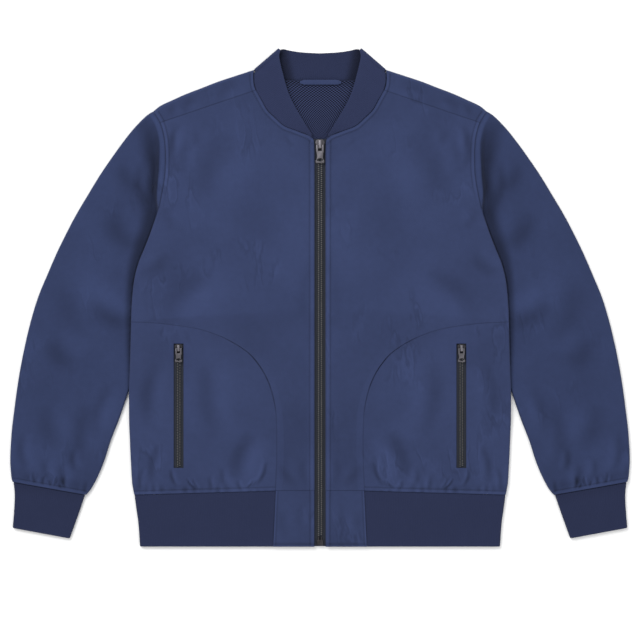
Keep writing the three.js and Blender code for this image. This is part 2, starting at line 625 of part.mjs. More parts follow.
// Hanger loop: a narrow cloth strip lying on the lining, its ends flattened into the neck seam
function loopGeometry() {
  const base = LINING.low + LINING.thick + CLEAR;
  const stations = [0, 0.5, 1].map((t) => LOOP.from + t * LOOP.taper);
  const ends = [1, 0.5, 0].map((t) => LOOP.to - t * LOOP.taper);
  const grid = [...stations, 0, ...ends].map((x) => {
    const full = clamp01(Math.min(x - LOOP.from, LOOP.to - x) / LOOP.taper);
    const half = (LOOP.width / 2) * mix(0.35, 1, full);
    const high = LOOP.thick * mix(0.4, 1, full);
    return ring(4).map((t) => {
      const across = mix(-1, 1, t);
      const crown = 1 - 0.5 * across * across;
      return { out: [x, LOOP.y + across * half, base + high * crown], in: [x, LOOP.y + across * half, base] };
    });
  });
  return wallGeometry(grid);
}

// A straight strip with a rounded top, along Y
function stripGeometry(x, width, from, to, low, thick) {
  const grid = ring(1).map((v) =>
    [-1, -0.6, 0.6, 1].map((u) => {
      const at = [x + (u * width) / 2, mix(from, to, v)];
      const crown = Math.abs(u) === 1 ? 0.7 : 1;
      return { out: [...at, low + thick * crown], in: [...at, low] };
    }),
  );
  return wallGeometry(grid);
}

const wasm = await Module();
wasm.setup();
// A closed geometry as a solid for joining and cutting.
function solidOf(geometry) {
  const source = geometry.index ? geometry.toNonIndexed() : geometry;
  const position = source.getAttribute("position");
  const seen = new Map();
  const vertProperties = [];
  const triVerts = [];
  for (let i = 0; i < position.count; i++) {
    const p = [position.getX(i), position.getY(i), position.getZ(i)];
    const key = p.map((v) => Math.round(v * 1e4)).join(",");
    if (!seen.has(key)) {
      seen.set(key, vertProperties.length / 3);
      vertProperties.push(...p);
    }
    triVerts.push(seen.get(key));
  }
  return new wasm.Manifold(new wasm.Mesh({
    numProp: 3,
    vertProperties: new Float32Array(vertProperties),
    triVerts: new Uint32Array(triVerts),
  }));
}
function geometryOf(solid) {
  const mesh = solid.getMesh();
  return facingOut(Array.from(mesh.vertProperties), Array.from(mesh.triVerts));
}
function boxGeometry(x0, x1, y0, y1, z0, z1) {
  const box = new THREE.BoxGeometry(x1 - x0, y1 - y0, z1 - z0);
  box.translate((x0 + x1) / 2, (y0 + y1) / 2, (z0 + z1) / 2);
  return box;
}
function extruded(shape, low, high) {
  const geometry = new THREE.ExtrudeGeometry(shape, {
    depth: high - low, bevelEnabled: false, curveSegments: 4,
  });
  geometry.translate(0, 0, low);
  return geometry;
}

// Slider body: wide shoulders narrowing to the chain, with a bridge over its top for the pull tab
function sliderGeometry(s, x, low) {
  const [top, foot, half, neck] = [s.top, s.top - s.length, s.width / 2, s.neck / 2];
  const plan = new THREE.Shape();
  plan.moveTo(x - neck, foot);
  plan.lineTo(x + neck, foot);
  plan.lineTo(x + neck, foot + s.length * 0.35);
  plan.quadraticCurveTo(x + half, foot + s.length * 0.5, x + half, top - s.length * 0.3);
  plan.quadraticCurveTo(x + half * 0.9, top - s.length * 0.08, x + half * 0.45, top);
  plan.lineTo(x - half * 0.45, top);
  plan.quadraticCurveTo(x - half * 0.9, top - s.length * 0.08, x - half, top - s.length * 0.3);
  plan.quadraticCurveTo(x - half, foot + s.length * 0.5, x - neck, foot + s.length * 0.35);
  const plate = low + s.body;
  const under = plate + 2 * (BAR_RADIUS + CLEAR);
  const [bridgeTop, bridgeFoot, w] = [top - s.bridgeFrom, top - s.bridgeTo, s.bridgeWidth / 2];
  const bridge = boxGeometry(x - w, x + w, bridgeFoot, bridgeTop, plate - 0.5, under + BRIDGE_WALL);
  const space = boxGeometry(x - w - 1, x + w + 1, bridgeFoot + LEG, bridgeTop - LEG, plate, under);
  const arch = solidOf(bridge).subtract(solidOf(space));
  return geometryOf(solidOf(extruded(plan, low, plate)).add(arch));
}

// Pull tab: a round bar under the bridge, a plate with an eye round the bridge and an oval hole near its end
function tabGeometry(s, x, low) {
  const axisY = s.top - s.pivot;
  const axisZ = low + s.body + CLEAR + BAR_RADIUS;
  const [head, waist, end] = [s.tabHead / 2, s.tabWaist / 2, s.tabEnd / 2];
  const foot = axisY - s.tabLength;
  const eyeFoot = axisY - s.eyeLength;
  const plan = new THREE.Shape();
  plan.moveTo(x - head, axisY);
  plan.lineTo(x - head, eyeFoot - 1);
  plan.quadraticCurveTo(x - waist, eyeFoot - 3, x - waist, (eyeFoot + foot) / 2);
  plan.quadraticCurveTo(x - waist, foot + s.tabLength * 0.22, x - end, foot + s.tabLength * 0.14);
  plan.lineTo(x - end, foot + 1.6);
  plan.quadraticCurveTo(x - end, foot, x - end + 1.8, foot);
  plan.lineTo(x + end - 1.8, foot);
  plan.quadraticCurveTo(x + end, foot, x + end, foot + 1.6);
  plan.lineTo(x + end, foot + s.tabLength * 0.14);
  plan.quadraticCurveTo(x + waist, foot + s.tabLength * 0.22, x + waist, (eyeFoot + foot) / 2);
  plan.quadraticCurveTo(x + waist, eyeFoot - 3, x + head, eyeFoot - 1);
  plan.lineTo(x + head, axisY);
  const hole = new THREE.Path();
  hole.absellipse(x, foot + s.holeFromEnd, s.holeWidth / 2, s.holeHeight / 2, 0, 2 * Math.PI);
  plan.holes.push(hole);
  const plate = solidOf(extruded(plan, axisZ - BAR_RADIUS, axisZ + BAR_RADIUS));
  const eye = boxGeometry(x - s.eyeWidth / 2, x + s.eyeWidth / 2, eyeFoot, axisY + 1, axisZ - 1, axisZ + 1);
  const bar = new THREE.CylinderGeometry(BAR_RADIUS, BAR_RADIUS, s.tabHead, 12);
  bar.rotateZ(Math.PI / 2);
  bar.translate(x, axisY, axisZ);
  return geometryOf(plate.subtract(solidOf(eye)).add(solidOf(bar)));
}

const zipMetal = () => material(GUNMETAL, 0.4, 0.9);
const zipCloth = () => material(TAPE_GREY, 0.85, 0);

add("back_panel", backGeometry(), shellCloth());
addPair("front_panel", frontGeometry(), shellCloth);
addPair("pocket_panel", pocketGeometry(), shellCloth);
addPair("sleeve", sleeveGeometry(), shellCloth);
addPair("cuff", cuffGeometry(), ribKnit);
add("hem_rib", hemGeometry(), ribKnit());
addPair("hem_tab", hemTabGeometry(), shellCloth);
add("collar_rib", collarGeometry(), ribKnit());
add("neck_lining", liningGeometry(), material(MESH_NAVY));
add("hanger_loop", loopGeometry(), shellCloth());

// Front zip: a tape under each edge, the chain on them, its slider and tab at the neck, its box at the hem
const frontLow = CLOTH + BODY_AIR;
const tapeLow = frontLow - CLEAR - TAPE.thick;
const tapeWidth = TAPE.reach - TAPE.edge;
addPair("zip_tape",
  stripGeometry(TAPE.edge + tapeWidth / 2, tapeWidth, FRONT_ZIP.bottom, FRONT_ZIP.top, tapeLow, TAPE.thick),
  zipCloth);
const chainTop = MAIN_SLIDER.top - MAIN_SLIDER.length - CLEAR;
add("zip_chain",
  stripGeometry(0, CHAIN.front, FRONT_ZIP.boxTop + CLEAR, chainTop, frontLow, CHAIN.thick), zipMetal());
add("zip_box",
  stripGeometry(0, FRONT_ZIP.boxWidth, FRONT_ZIP.bottom, FRONT_ZIP.boxTop, frontLow, FRONT_ZIP.boxHeight),
  zipMetal());
add("zip_slider", sliderGeometry(MAIN_SLIDER, 0, frontLow), zipMetal());
add("zip_tab", tabGeometry(MAIN_SLIDER, 0, frontLow), zipMetal());

// Pocket zips
for (const [side, sign] of [["left", 1], ["right", -1]]) {
  const x = sign * SLOT.x;
  const name = "pocket_zip_";
  add(name + "tape_" + side,
    stripGeometry(x, SLOT.width + 12, SLOT.bottom - 8, SLOT.top + 8, tapeLow, TAPE.thick), zipCloth());
  const from = POCKET_SLIDER.top - POCKET_SLIDER.length - CLEAR;
  add(name + "chain_" + side,
    stripGeometry(x, CHAIN.pocket, SLOT.bottom + 1, from, frontLow, CHAIN.thick), zipMetal());
  add(name + "slider_" + side, sliderGeometry(POCKET_SLIDER, x, frontLow), zipMetal());
  add(name + "tab_" + side, tabGeometry(POCKET_SLIDER, x, frontLow), zipMetal());
}

export default jacket;
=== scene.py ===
"""Looks of a rib-trimmed zip jacket that lies flat on its back, front side up, neck towards +Y.

Lengths in the tables are millimetres, as on a paper pattern, and MM turns them into metres when a mesh is
made. Left is the wearer's left, at +X. Every cloth piece is a thin shell whose outer face follows the solid
that it stands for, with its seams, creases, ribs and rows of stitches raised or sunk in that face.
"""

import logging
import math
from dataclasses import dataclass, field
from enum import Enum
from typing import Callable, Optional, Sequence

import bpy
import numpy as np
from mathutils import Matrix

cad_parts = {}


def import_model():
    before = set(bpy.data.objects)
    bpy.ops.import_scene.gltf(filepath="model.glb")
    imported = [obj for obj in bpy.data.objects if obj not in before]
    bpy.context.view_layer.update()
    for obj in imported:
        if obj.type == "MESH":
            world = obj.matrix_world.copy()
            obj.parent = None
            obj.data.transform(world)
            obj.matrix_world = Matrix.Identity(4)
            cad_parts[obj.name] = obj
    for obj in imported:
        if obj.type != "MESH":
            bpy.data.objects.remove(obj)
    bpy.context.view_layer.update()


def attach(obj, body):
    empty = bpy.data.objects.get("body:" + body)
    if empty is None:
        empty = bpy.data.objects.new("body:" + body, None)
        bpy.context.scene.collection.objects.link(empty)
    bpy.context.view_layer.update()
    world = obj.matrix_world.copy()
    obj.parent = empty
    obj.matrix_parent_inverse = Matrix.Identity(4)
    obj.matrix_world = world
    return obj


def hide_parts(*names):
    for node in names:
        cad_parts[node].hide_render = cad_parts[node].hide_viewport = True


LOG = logging.getLogger("jacket")
MM = 0.001
Array = np.ndarray
HeightAt = Callable[[Array, Array], Array]
Pair = tuple[float, float]
Piece = bpy.types.Object
Material, Tree, Node, Socket = bpy.types.Material, bpy.types.NodeTree, bpy.types.Node, bpy.types.NodeSocket

# Stack of layers, in millimetres
CLOTH = 2.0
SEAM = 0.4
BODY_AIR = 3.0
BODY_AIR_PRESSED = 1.2
SLEEVE_HEIGHT = 7.0
LIFT = 5.2
BODY_HEIGHT = 2 * CLOTH + BODY_AIR
SHELL = 1.3  # thickness of a cloth shell as it is drawn
OVERLAP = 0.27  # how far a piece's edge is let out to close its seam
HEM_Y = -279.0  # where the cloth ends at the hem rib
UNDERARM_Y = 125.0
SHOULDER_TIP_Y = 265.0
NECK_POINT_X = 94.3
ROLLED_TO = (114.0, 125.0)  # Y over which the side's roll ends below the armhole

# Outline of the body: half width x at each height y
SIDE = (
    (-279, 264), (-262, 267), (-241, 268.3), (-205, 270), (-170, 271), (-135, 271), (-105, 270),
    (-84, 269.3), (-61, 268.7), (-34, 268), (-17, 267.5), (11, 265.5), (31, 262.5), (51, 257), (68, 250),
    (91, 241), (114, 233), (125, 229), (148, 224), (165, 221), (182, 219.3), (202, 219), (221, 220),
    (239, 223.5), (252, 228.5), (261.5, 234.5), (265, 237),
)
# Inner edge x, at each height y, of the hidden sleeve that lifts the body
HIDDEN_EDGE = (
    (-205, 298), (-173, 285), (-144, 275), (-117, 266), (-88, 257), (-59, 248), (-30, 240.5), (-2, 235),
    (24, 233), (48, 230), (90, 224), (265, 224),
)
NECK_BACK = ((0, 308.3), (50, 308.5), (71, 310.8), (94.3, 320.2))
SHOULDER = (
    (94.3, 324), (122, 315), (146, 307), (169, 298), (190, 290), (210, 281), (227, 273), (237, 265),
)
# Yoke rows on the front: neck x and y, armhole x and y
YOKE_ROWS = ((94.5, 313, 232.6, 258.5), (94.0, 304, 229.6, 254), (91.4, 295.2, 226.9, 249))
# Front panel rows: inner x and y, outer x and y
FRONT_ROWS = (
    (8.5, -273, 63, -273), (8.5, -241, 61.5, -236), (8.5, -208, 61, -199), (8.5, -176, 62.2, -163),
    (8.5, -148, 69, -129), (8.5, -124, 80, -104), (8.5, -102, 96, -82.5), (8.5, -82, 118, -66),
    (8.5, -64, 143, -53.5), (8.5, -48, 172, -44), (8.5, -35, 205, -38.7), (8.5, -24, 238, -35.2),
    (8.5, -14, 262, -34.2), (8.5, -7, 268, -34), (8.5, 10, 267.5, -17), (8.5, 38, 265.5, 11),
    (8.5, 62, 262.5, 31), (8.5, 88, 257, 51), (8.5, 112, 250, 68), (8.5, 142, 241, 91),
    (8.5, 172, 233, 114), (8.5, 199, 229, 125), (9.3, 224.5, 224, 148), (32, 236.4, 221, 165),
    (50.2, 243.4, 219.3, 182), (64.3, 255.5, 219, 202), (75.4, 266.6, 220, 221),
    (83.4, 280.6, 223.5, 239), (91.2, 294.7, 226.6, 248.5),
)
FRONT_CORNER_ROW = 13  # the row whose outer end is where pocket seam and side meet
NECK_ROW = 22  # the row that starts at the top of the zip edge
# Pocket panel rows: seam x and y, and the row's level beyond the curve
POCKET_ROWS = (
    (63.4, -273.4, -279), (62.9, -258, -262), (62.0, -238, -241), (61.4, -203, -205), (62.4, -168, -170),
    (68.1, -136.2, -135), (77.1, -112.2, -105), (88.8, -93.4, -84), (101.4, -79, -61),
)
POCKET_TOP = (
    (118.4, -66.4), (143, -53.9), (172, -44.4), (205, -39.1), (238, -35.6), (262, -34.6), (268, -34.4),
)
POCKET_TOP_LEVEL = -34.4
POCKET_LEVEL_X = 150.0
SLOT_X, SLOT_WIDTH, SLOT_TOP, SLOT_BOTTOM = 200.6, 13.5, -61.0, -241.0
SLOT_WELT_TOP = -65.1  # where the cloth edge closes above the slider
# Strip of sleeve beside the armhole: reach, end x and y, tip x and y, fall, lift
ROLL_ROWS = (
    (0.2, 0.2, 0, 0.2, 0, 0, 1), (9.5, 1.2, -3.8, 3.6, -1, 0.07, 0.55),
    (12.3, 2.8, -8, 6.6, -3, 0.55, 0.2), (15.3, 4.2, -13, 9.6, -5.2, 1, 0),
)
# Sleeve rows: inner x and y, outer x and y, bow, height of the inner edge
SLEEVE_ROWS = (
    (238.6, 90.5, 262, 243.5, 9, 4.8), (240.5, 70, 282, 218.5, 5, 4.8), (237, 48, 307, 183, 2, 4.8),
    (234.5, 24, 330, 146, 0, 4.8), (236, -2, 351, 110, 0, 4.8), (241.5, -30, 370, 73, 0, 4.8),
    (249, -59, 386.5, 36, 0, 4.8), (258, -88, 400, 3, 0, 4.8), (267, -117, 411.5, -35, 0, 4.8),
    (276, -144, 420, -72, 0, 5.0), (286, -173, 427.5, -110, 0, 6.0), (297, -202, 433.5, -152, 0, 6.8),
    (307, -233, 438.5, -195, 0, 7.0), (317.5, -258, 440, -232, 0, 7.0), (326, -272.5, 438.8, -252, 0, 7.0),
    (332.6, -279.6, 436.6, -261, 0, 6.6),
)
# Cuff rows: inner x and y, outer x and y, height
CUFF_ROWS = (
    (333.9, -279.8, 435.5, -261.65, 6.6), (339, -295, 433.8, -280, 6.2),
    (347.5, -319, 434.8, -302, 6.2), (355.6, -341.5, 436.8, -326.5, 6.4),
)
# Hem rib rows: side x and y, front x and y, height
HEM_ROWS = (
    (263.6, -279.4, 63.5, -273.8, 7.0), (261.4, -297, 64.3, -293, 6.6),
    (258, -321, 65.6, -319, 6.4), (255.8, -353, 67.2, -353, 6.6),
)
# Collar columns: seam x and y, free edge x and y
COLLAR_FRONT = (
    (11.6, 227.8, 12.6, 233.5), (22, 233.2, 16.2, 239.5), (36, 238.3, 23, 251), (50, 243.9, 30, 262.5),
    (64, 256, 37.5, 276), (75, 267.2, 44, 290), (83, 281, 48.5, 304), (90.6, 295, 52, 317),
    (93.6, 308, 55.5, 331), (93.7, 318, 57.6, 344),
)
COLLAR_BACK = (
    (91, 319.6, 53.0, 354.2), (76, 313.5, 44, 352.4), (58, 310.2, 32, 350.4), (38, 309.2, 20, 349.2),
    (18, 308.9, 10, 348.7), (0, 308.9, 0, 348.3),
)
COLLAR_FOLD = (93.9, 324.8, 58.8, 355)
COLLAR_HEIGHT = (7.0, 8.6)
LINING_ROWS = ((222, 17), (236, 24), (258, 37), (282, 50), (307.6, 60))

# Steps of a grid beside a seam, and beside a rolled side
EDGE_STEPS = (0, 0.25, 0.6, 1.1, 1.8, 3.0, 4.4, 5.2, 5.9, 6.6, 7.6, 9.5)
ROLL_STEPS = tuple(3.5 * (1 - math.cos(k * math.pi / 16)) for k in range(9)) + (4.4, 5.2, 5.9, 6.6, 7.6, 9.5)
STRIP_STEPS = EDGE_STEPS[:-1] + (8.6, 9.5, 10.3, 11, 11.7, 12.4, 13.2, 14, 15, 16, 17.5, 19.5)
GATHER_STEPS = EDGE_STEPS + tuple(11.0 + 1.6 * k for k in range(12))
WELT_STEPS = (0, 0.3, 0.8, 1.6, 2.4, 3.0, 3.8, 5.0)
RIM_STEPS = (0, 0.3, 0.7, 1.2, 2.0, 3.2)
YOKE_STEPS = (0, 0.6, 1.5, 3)
SLOT_STEPS = (2.2, 4.5, 6.75, 9, 11.3)  # across the pocket's slot


def mix(start: Array, end: Array, share: Array) -> Array:
    """Value that lies a share of the way from start to end."""
    return start + (end - start) * share


def smooth(start: float, end: float, value: Array) -> Array:
    """Soft step from 0 at start to 1 at end."""
    share = np.clip((value - start) / (end - start), 0, 1)
    return share * share * (3 - 2 * share)


def near(distance: Array, width: float) -> Array:
    """Soft hill: 1 at no distance, 0 from width on, to either side."""
    return 1 - smooth(0, width, np.abs(distance))


class Track:
    """A value that runs smoothly through the rows of a table and never past them."""

    def __init__(self, keys: Sequence[float], values: Sequence) -> None:
        """Works out the slopes.

        Args:
            keys: Where each row stands, in rising order.
            values: The value of each row, a number or an array.
        """
        self.keys = np.asarray(keys, float)
        self.values = np.asarray(values, float)
        gaps = np.diff(self.keys).reshape((-1,) + (1,) * (self.values.ndim - 1))
        slopes = np.diff(self.values, axis=0) / gaps
        before, after = slopes[:-1], slopes[1:]
        product = before * after
        total = np.where(np.abs(before + after) < 1e-12, 1.0, before + after)
        middle = np.where(product > 0, 2 * product / total, 0.0)
        self.slopes = np.concatenate([slopes[:1], middle, slopes[-1:]])

    def __call__(self, at: Array) -> Array:
        """Value at one place or at an array of places."""
        at = np.clip(np.asarray(at, float), self.keys[0], self.keys[-1])
        row = np.clip(np.searchsorted(self.keys, at) - 1, 0, len(self.keys) - 2)
        gap = self.keys[row + 1] - self.keys[row]
        extra = (1,) * (self.values.ndim - 1)
        share = ((at - self.keys[row]) / gap).reshape(at.shape + extra)
        gap = gap.reshape(at.shape + extra)
        square, cube = share * share, share ** 3
        return (
            (2 * cube - 3 * square + 1) * self.values[row]
            + (cube - 2 * square + share) * gap * self.slopes[row]
            + (3 * square - 2 * cube) * self.values[row + 1]
            + (cube - square) * gap * self.slopes[row + 1]
        )


def table_track(table: Sequence[Sequence[float]]) -> Track:
    """Track through a table of (key, value) rows."""
    return Track([row[0] for row in table], [row[1] for row in table])


def ladder(length: Array, first: Sequence[float], last: Sequence[float], cells: int) -> Array:
    """Places along a row: given steps at both ends and even cells between them.

    Args:
        length: Length of the row, or of many rows.
        first: Steps from the start, 0 included.
        last: Steps from the end, 0 included.
        cells: Number of even cells between the two.

    Returns:
        The places, one more axis than length has.
    """
    length = np.asarray(length, float)[..., None]
    start = np.asarray(first, float) + 0 * length
    end = length - np.asarray(last[::-1], float)
    even = np.linspace(0, 1, cells + 1)[1:-1]
    return np.concatenate([start, mix(start[..., -1:], end[..., :1], even), end], axis=-1)


def run_along(points: Array, axis: int) -> Array:
    """Mean distance run along one axis of a grid of points, from 0."""
    steps = np.linalg.norm(np.diff(points, axis=axis), axis=-1)
    return np.concatenate([[0.0], np.cumsum(steps.mean(axis=1 - axis))])


def distance_to(line: Array, x: Array, y: Array) -> Array:
    """Distance in plan from each point to a line of points."""
    starts, steps = line[:-1], np.diff(line, axis=0)
    squares = np.maximum((steps ** 2).sum(axis=1), 1e-9)
    best = np.full(x.shape, 1e9)
    for (sx, sy), (dx, dy), square in zip(starts, steps, squares):
        share = np.clip(((x - sx) * dx + (y - sy) * dy) / square, 0, 1)
        best = np.minimum(best, (x - sx - share * dx) ** 2 + (y - sy - share * dy) ** 2)
    return np.sqrt(best)


def mirror(points: Array) -> Array:
    """The same points on the other side of the body."""
    return points * np.array([-1.0] + [1.0] * (points.shape[-1] - 1))


def let_out(
    plan: Array, start: Array = OVERLAP, end: Array = OVERLAP, left: Array = OVERLAP, right: Array = OVERLAP,
) -> Array:
    """Moves the edges of a plan grid outwards, so that its seams close.

    Args:
        plan: Grid of (x, y) places.
        start: How far the first row moves.
        end: How far the last row moves.
        left: How far the first column moves, one value or one for each row.
        right: How far the last column moves.

    Returns:
        The wider grid.
    """
    wider = plan.copy()
    every = slice(None)
    edges = (
        ((0,), (1,), start), ((-1,), (-2,), end),
        ((every, 0), (every, 1), left), ((every, -1), (every, -2), right),
    )
    for edge, inner, amount in edges:
        way = plan[edge] - plan[inner]
        amount = np.broadcast_to(amount, way.shape[:1])[:, None]
        wider[edge] = wider[edge] + amount * way / np.linalg.norm(way, axis=-1, keepdims=True)
    return wider


class BodyForm:
    """Height of the body's two layers over the plan, with the sleeve below them."""

    side = table_track(SIDE)
    hidden = table_track(HIDDEN_EDGE)

    def lift(self, x: Array, y: Array) -> Array:
        """How high the hidden sleeve lifts the body."""
        across = smooth(0, 1, (np.abs(x) - self.hidden(y) + 44) / 36)
        return LIFT * across * (1 - smooth(140, 262, y)) * smooth(-205, -140, y)

    def height(self, x: Array, y: Array) -> Array:
        """Height of the two layers together."""
        return mix(BODY_HEIGHT, 2 * CLOTH + BODY_AIR_PRESSED, self.lift(x, y) / LIFT)

    def face(self, x: Array, y: Array, side: int) -> Array:
        """Height of the front's outer face (side 1) or of the back's (side -1)."""
        low, radius = self.lift(x, y), self.height(x, y) / 2
        inset = np.clip(1 - (self.side(y) - np.abs(x)) / radius, 0, 1)
        turned = np.sqrt(1 - inset ** 2)
        rolled = 1 - smooth(*ROLLED_TO, y)
        rise = radius * mix(1, turned, rolled)
        return low + radius + side * (rise + rolled * SEAM * 0.5 * (1 - turned))


@dataclass(frozen=True)
class Crease:
    """A soft trough in the cloth with a lower ridge beside it, between two places in plan."""

    start_x: float
    start_y: float
    end_x: float
    end_y: float
    width: float
    depth: float

    def at(self, x: Array, y: Array) -> Array:
        """Height that the crease adds at each place."""
        step_x, step_y = self.end_x - self.start_x, self.end_y - self.start_y
        length = math.hypot(step_x, step_y)
        along = ((x - self.start_x) * step_x + (y - self.start_y) * step_y) / length
        aside = ((x - self.start_x) * step_y - (y - self.start_y) * step_x) / length
        arch = np.sin(math.pi * np.clip(along / length, 0, 1))
        aside = aside + 0.06 * length * arch ** 2
        trough = np.exp(-((aside / self.width) ** 2))
        ridge = np.exp(-(((aside - 1.9 * self.width) / (1.2 * self.width)) ** 2))
        return self.depth * arch ** 0.8 * (0.55 * ridge - trough)


@dataclass(frozen=True)
class Gathers:
    """Small gathers where a rib draws the cloth in, uneven in spacing and length."""

    pitch: float
    wander: Pair  # by how much their spacing changes, and over what length
    swell: tuple[float, float, float]  # the same for their height, and its phase
    rise: Pair  # distances from the seam over which they start
    fall: tuple[float, float, float, float]  # where they start to end, end, and how that end changes

    def at(self, across: Array, away: Array) -> Array:
        """Height at each place across the gathers and away from the seam."""
        (shift, shift_length), (share, share_length, phase) = self.wander, self.swell
        fade, end, change, change_length = self.fall
        wave = np.sin(across / self.pitch + shift * np.sin(across / shift_length))
        wave = wave * (1 - share + share * np.sin(across / share_length + phase))
        ending = smooth(fade, end + change * np.sin(across / change_length), away)
        return 0.5 * wave * smooth(*self.rise, away) * (1 - ending)


@dataclass(frozen=True)
class SeamEdge:
    """One edge of a cloth piece: its line in plan and how it is sewn."""

    line: Array
    band: float = 0.0  # distance of the row of stitches, 0 for a plain seam
    raised: float = 0.45  # height of the turned-in layers under that band
    dip: float = 0.45  # how far the very edge turns down
    turn: float = 0.8  # over what width
    # Darkness of the seam's own line: a dark seam with painted shade in its groove.
    dark: float = 0.35  # shade of the seam's own line
    band_from: float = -1000.0  # height y below which the band fades away

    def at(self, x: Array, y: Array) -> tuple[Array, Array]:
        """Height, and the dark line with painted shade and highlight that the seam adds.

        Args:
            x: Plan places.
            y: Plan places.

        Returns:
            The height, and the shade: the seam's dark line with painted shade in its groove and along its row
                of stitches, less a painted highlight on the raised band.
        """
        away = distance_to(self.line, x, y)
        inset = np.clip(1 - away / self.turn, 0, 1)
        height = -self.dip * (1 - np.sqrt(1 - inset ** 2))
        dark = self.dark * near(away, 1.3)
        if self.band:
            shown = smooth(self.band_from, self.band_from + 45, y)
            layers = 1 - smooth(self.band - 0.2, self.band + 1.3, away)
            height = height + shown * (self.raised * layers - 0.45 * near(away - self.band, 1.1))
            # Painted highlight on the raised band, painted shade along the sunk row of stitches.
            painted_light = 0.5 * near(away - 0.42 * self.band, 0.5 * self.band)
            dark = dark + shown * (0.95 * near(away - self.band, 1.5) - painted_light)
        return height, dark


@dataclass
class ClothFace:
    """The relief of one panel: its seams and creases, as height, and as dark seams and painted light and
    shade over the plan.
    """

    seams: Sequence[SeamEdge] = ()
    creases: Sequence[Sequence[float]] = ()  # rows of Crease's own values
    wave: float = 0.35  # height of the cloth's slow unevenness
    phase: float = 0.0

    def relief(self, x: Array, y: Array) -> tuple[Array, Array]:
        """Height and shade over the plan: dark seam lines and painted light and shade, above 0 where the
        cloth is darker.
        """
        height = self.wave * (
            np.sin(x / 31 + y / 83 + self.phase) * np.sin(y / 47 - x / 101 + 2 * self.phase)
            + 0.5 * np.sin(x / 17 - y / 29 + 3 * self.phase) * np.sin(y / 23 + self.phase)
        )
        # Painted light and shade: the cloth's higher places lighter, its lower places darker.
        shade = -0.22 * height / max(self.wave, 0.01)
        for row in self.creases:
            fold = Crease(*row).at(x, y)
            height = height + fold
            # Painted shade in the crease's trough, painted highlight on its ridge.
            shade = shade - 1.25 * fold
        fade = np.ones_like(x)
        edge_height = np.zeros_like(x)
        for seam in self.seams:
            sewn, dark = seam.at(x, y)
            edge_height = edge_height + sewn
            # Dark seam lines with painted shade and highlight along them.
            shade = shade + dark
            fade = np.minimum(fade, smooth(0, 12, distance_to(seam.line, x, y)))
        return height * fade + edge_height, shade


# Meshes


def deselect() -> None:
    """Leaves nothing selected, the frame's nodes included."""
    bpy.ops.object.select_all(action="DESELECT")


def choose(piece: Piece) -> None:
    """Makes one object the selected and active one."""
    deselect()
    piece.select_set(True)
    bpy.context.view_layer.objects.active = piece


def edit(piece: Piece, *steps: Callable[[], object]) -> None:
    """Runs edit-mode steps on all of a piece's mesh."""
    choose(piece)
    bpy.ops.object.mode_set(mode="EDIT")
    bpy.ops.mesh.select_all(action="SELECT")
    for step in steps:
        step()
    bpy.ops.object.mode_set(mode="OBJECT")


def set_place(
    piece: Piece, size: Sequence[float] = (), to: Sequence[float] = (0, 0, 0), lying: bool = False,
) -> None:
    """Shapes a new primitive in edit mode: sizes it, lays it along X and moves it.

    Args:
        piece: The primitive, at the origin.
        size: Factors along x, y and z, or none.
        to: Where its middle goes, in metres.
        lying: Whether it is turned from Z to X.
    """
    origin = (0, 0, 0)
    steps = []
    if len(size):
        steps.append(lambda: bpy.ops.transform.resize(value=size, center_override=origin))
    if lying:
        quarter = {"value": math.pi / 2, "orient_axis": "Y", "center_override": origin}
        steps.append(lambda: bpy.ops.transform.rotate(**quarter))
    edit(piece, *steps, lambda: bpy.ops.transform.translate(value=to))


def apply_modifier(piece: Piece, kind: str, **settings: object) -> None:
    """Adds a modifier and applies it."""
    choose(piece)
    modifier = piece.modifiers.new(kind.lower(), kind)
    for name, value in settings.items():
        setattr(modifier, name, value)
    bpy.ops.object.modifier_apply(modifier=modifier.name)


def smooth_shading(piece: Piece, angle: float = 40.0) -> None:
    """Shades a piece smooth, but for edges sharper than the angle in degrees."""
    choose(piece)
    bpy.ops.object.shade_smooth_by_angle(angle=math.radians(angle))


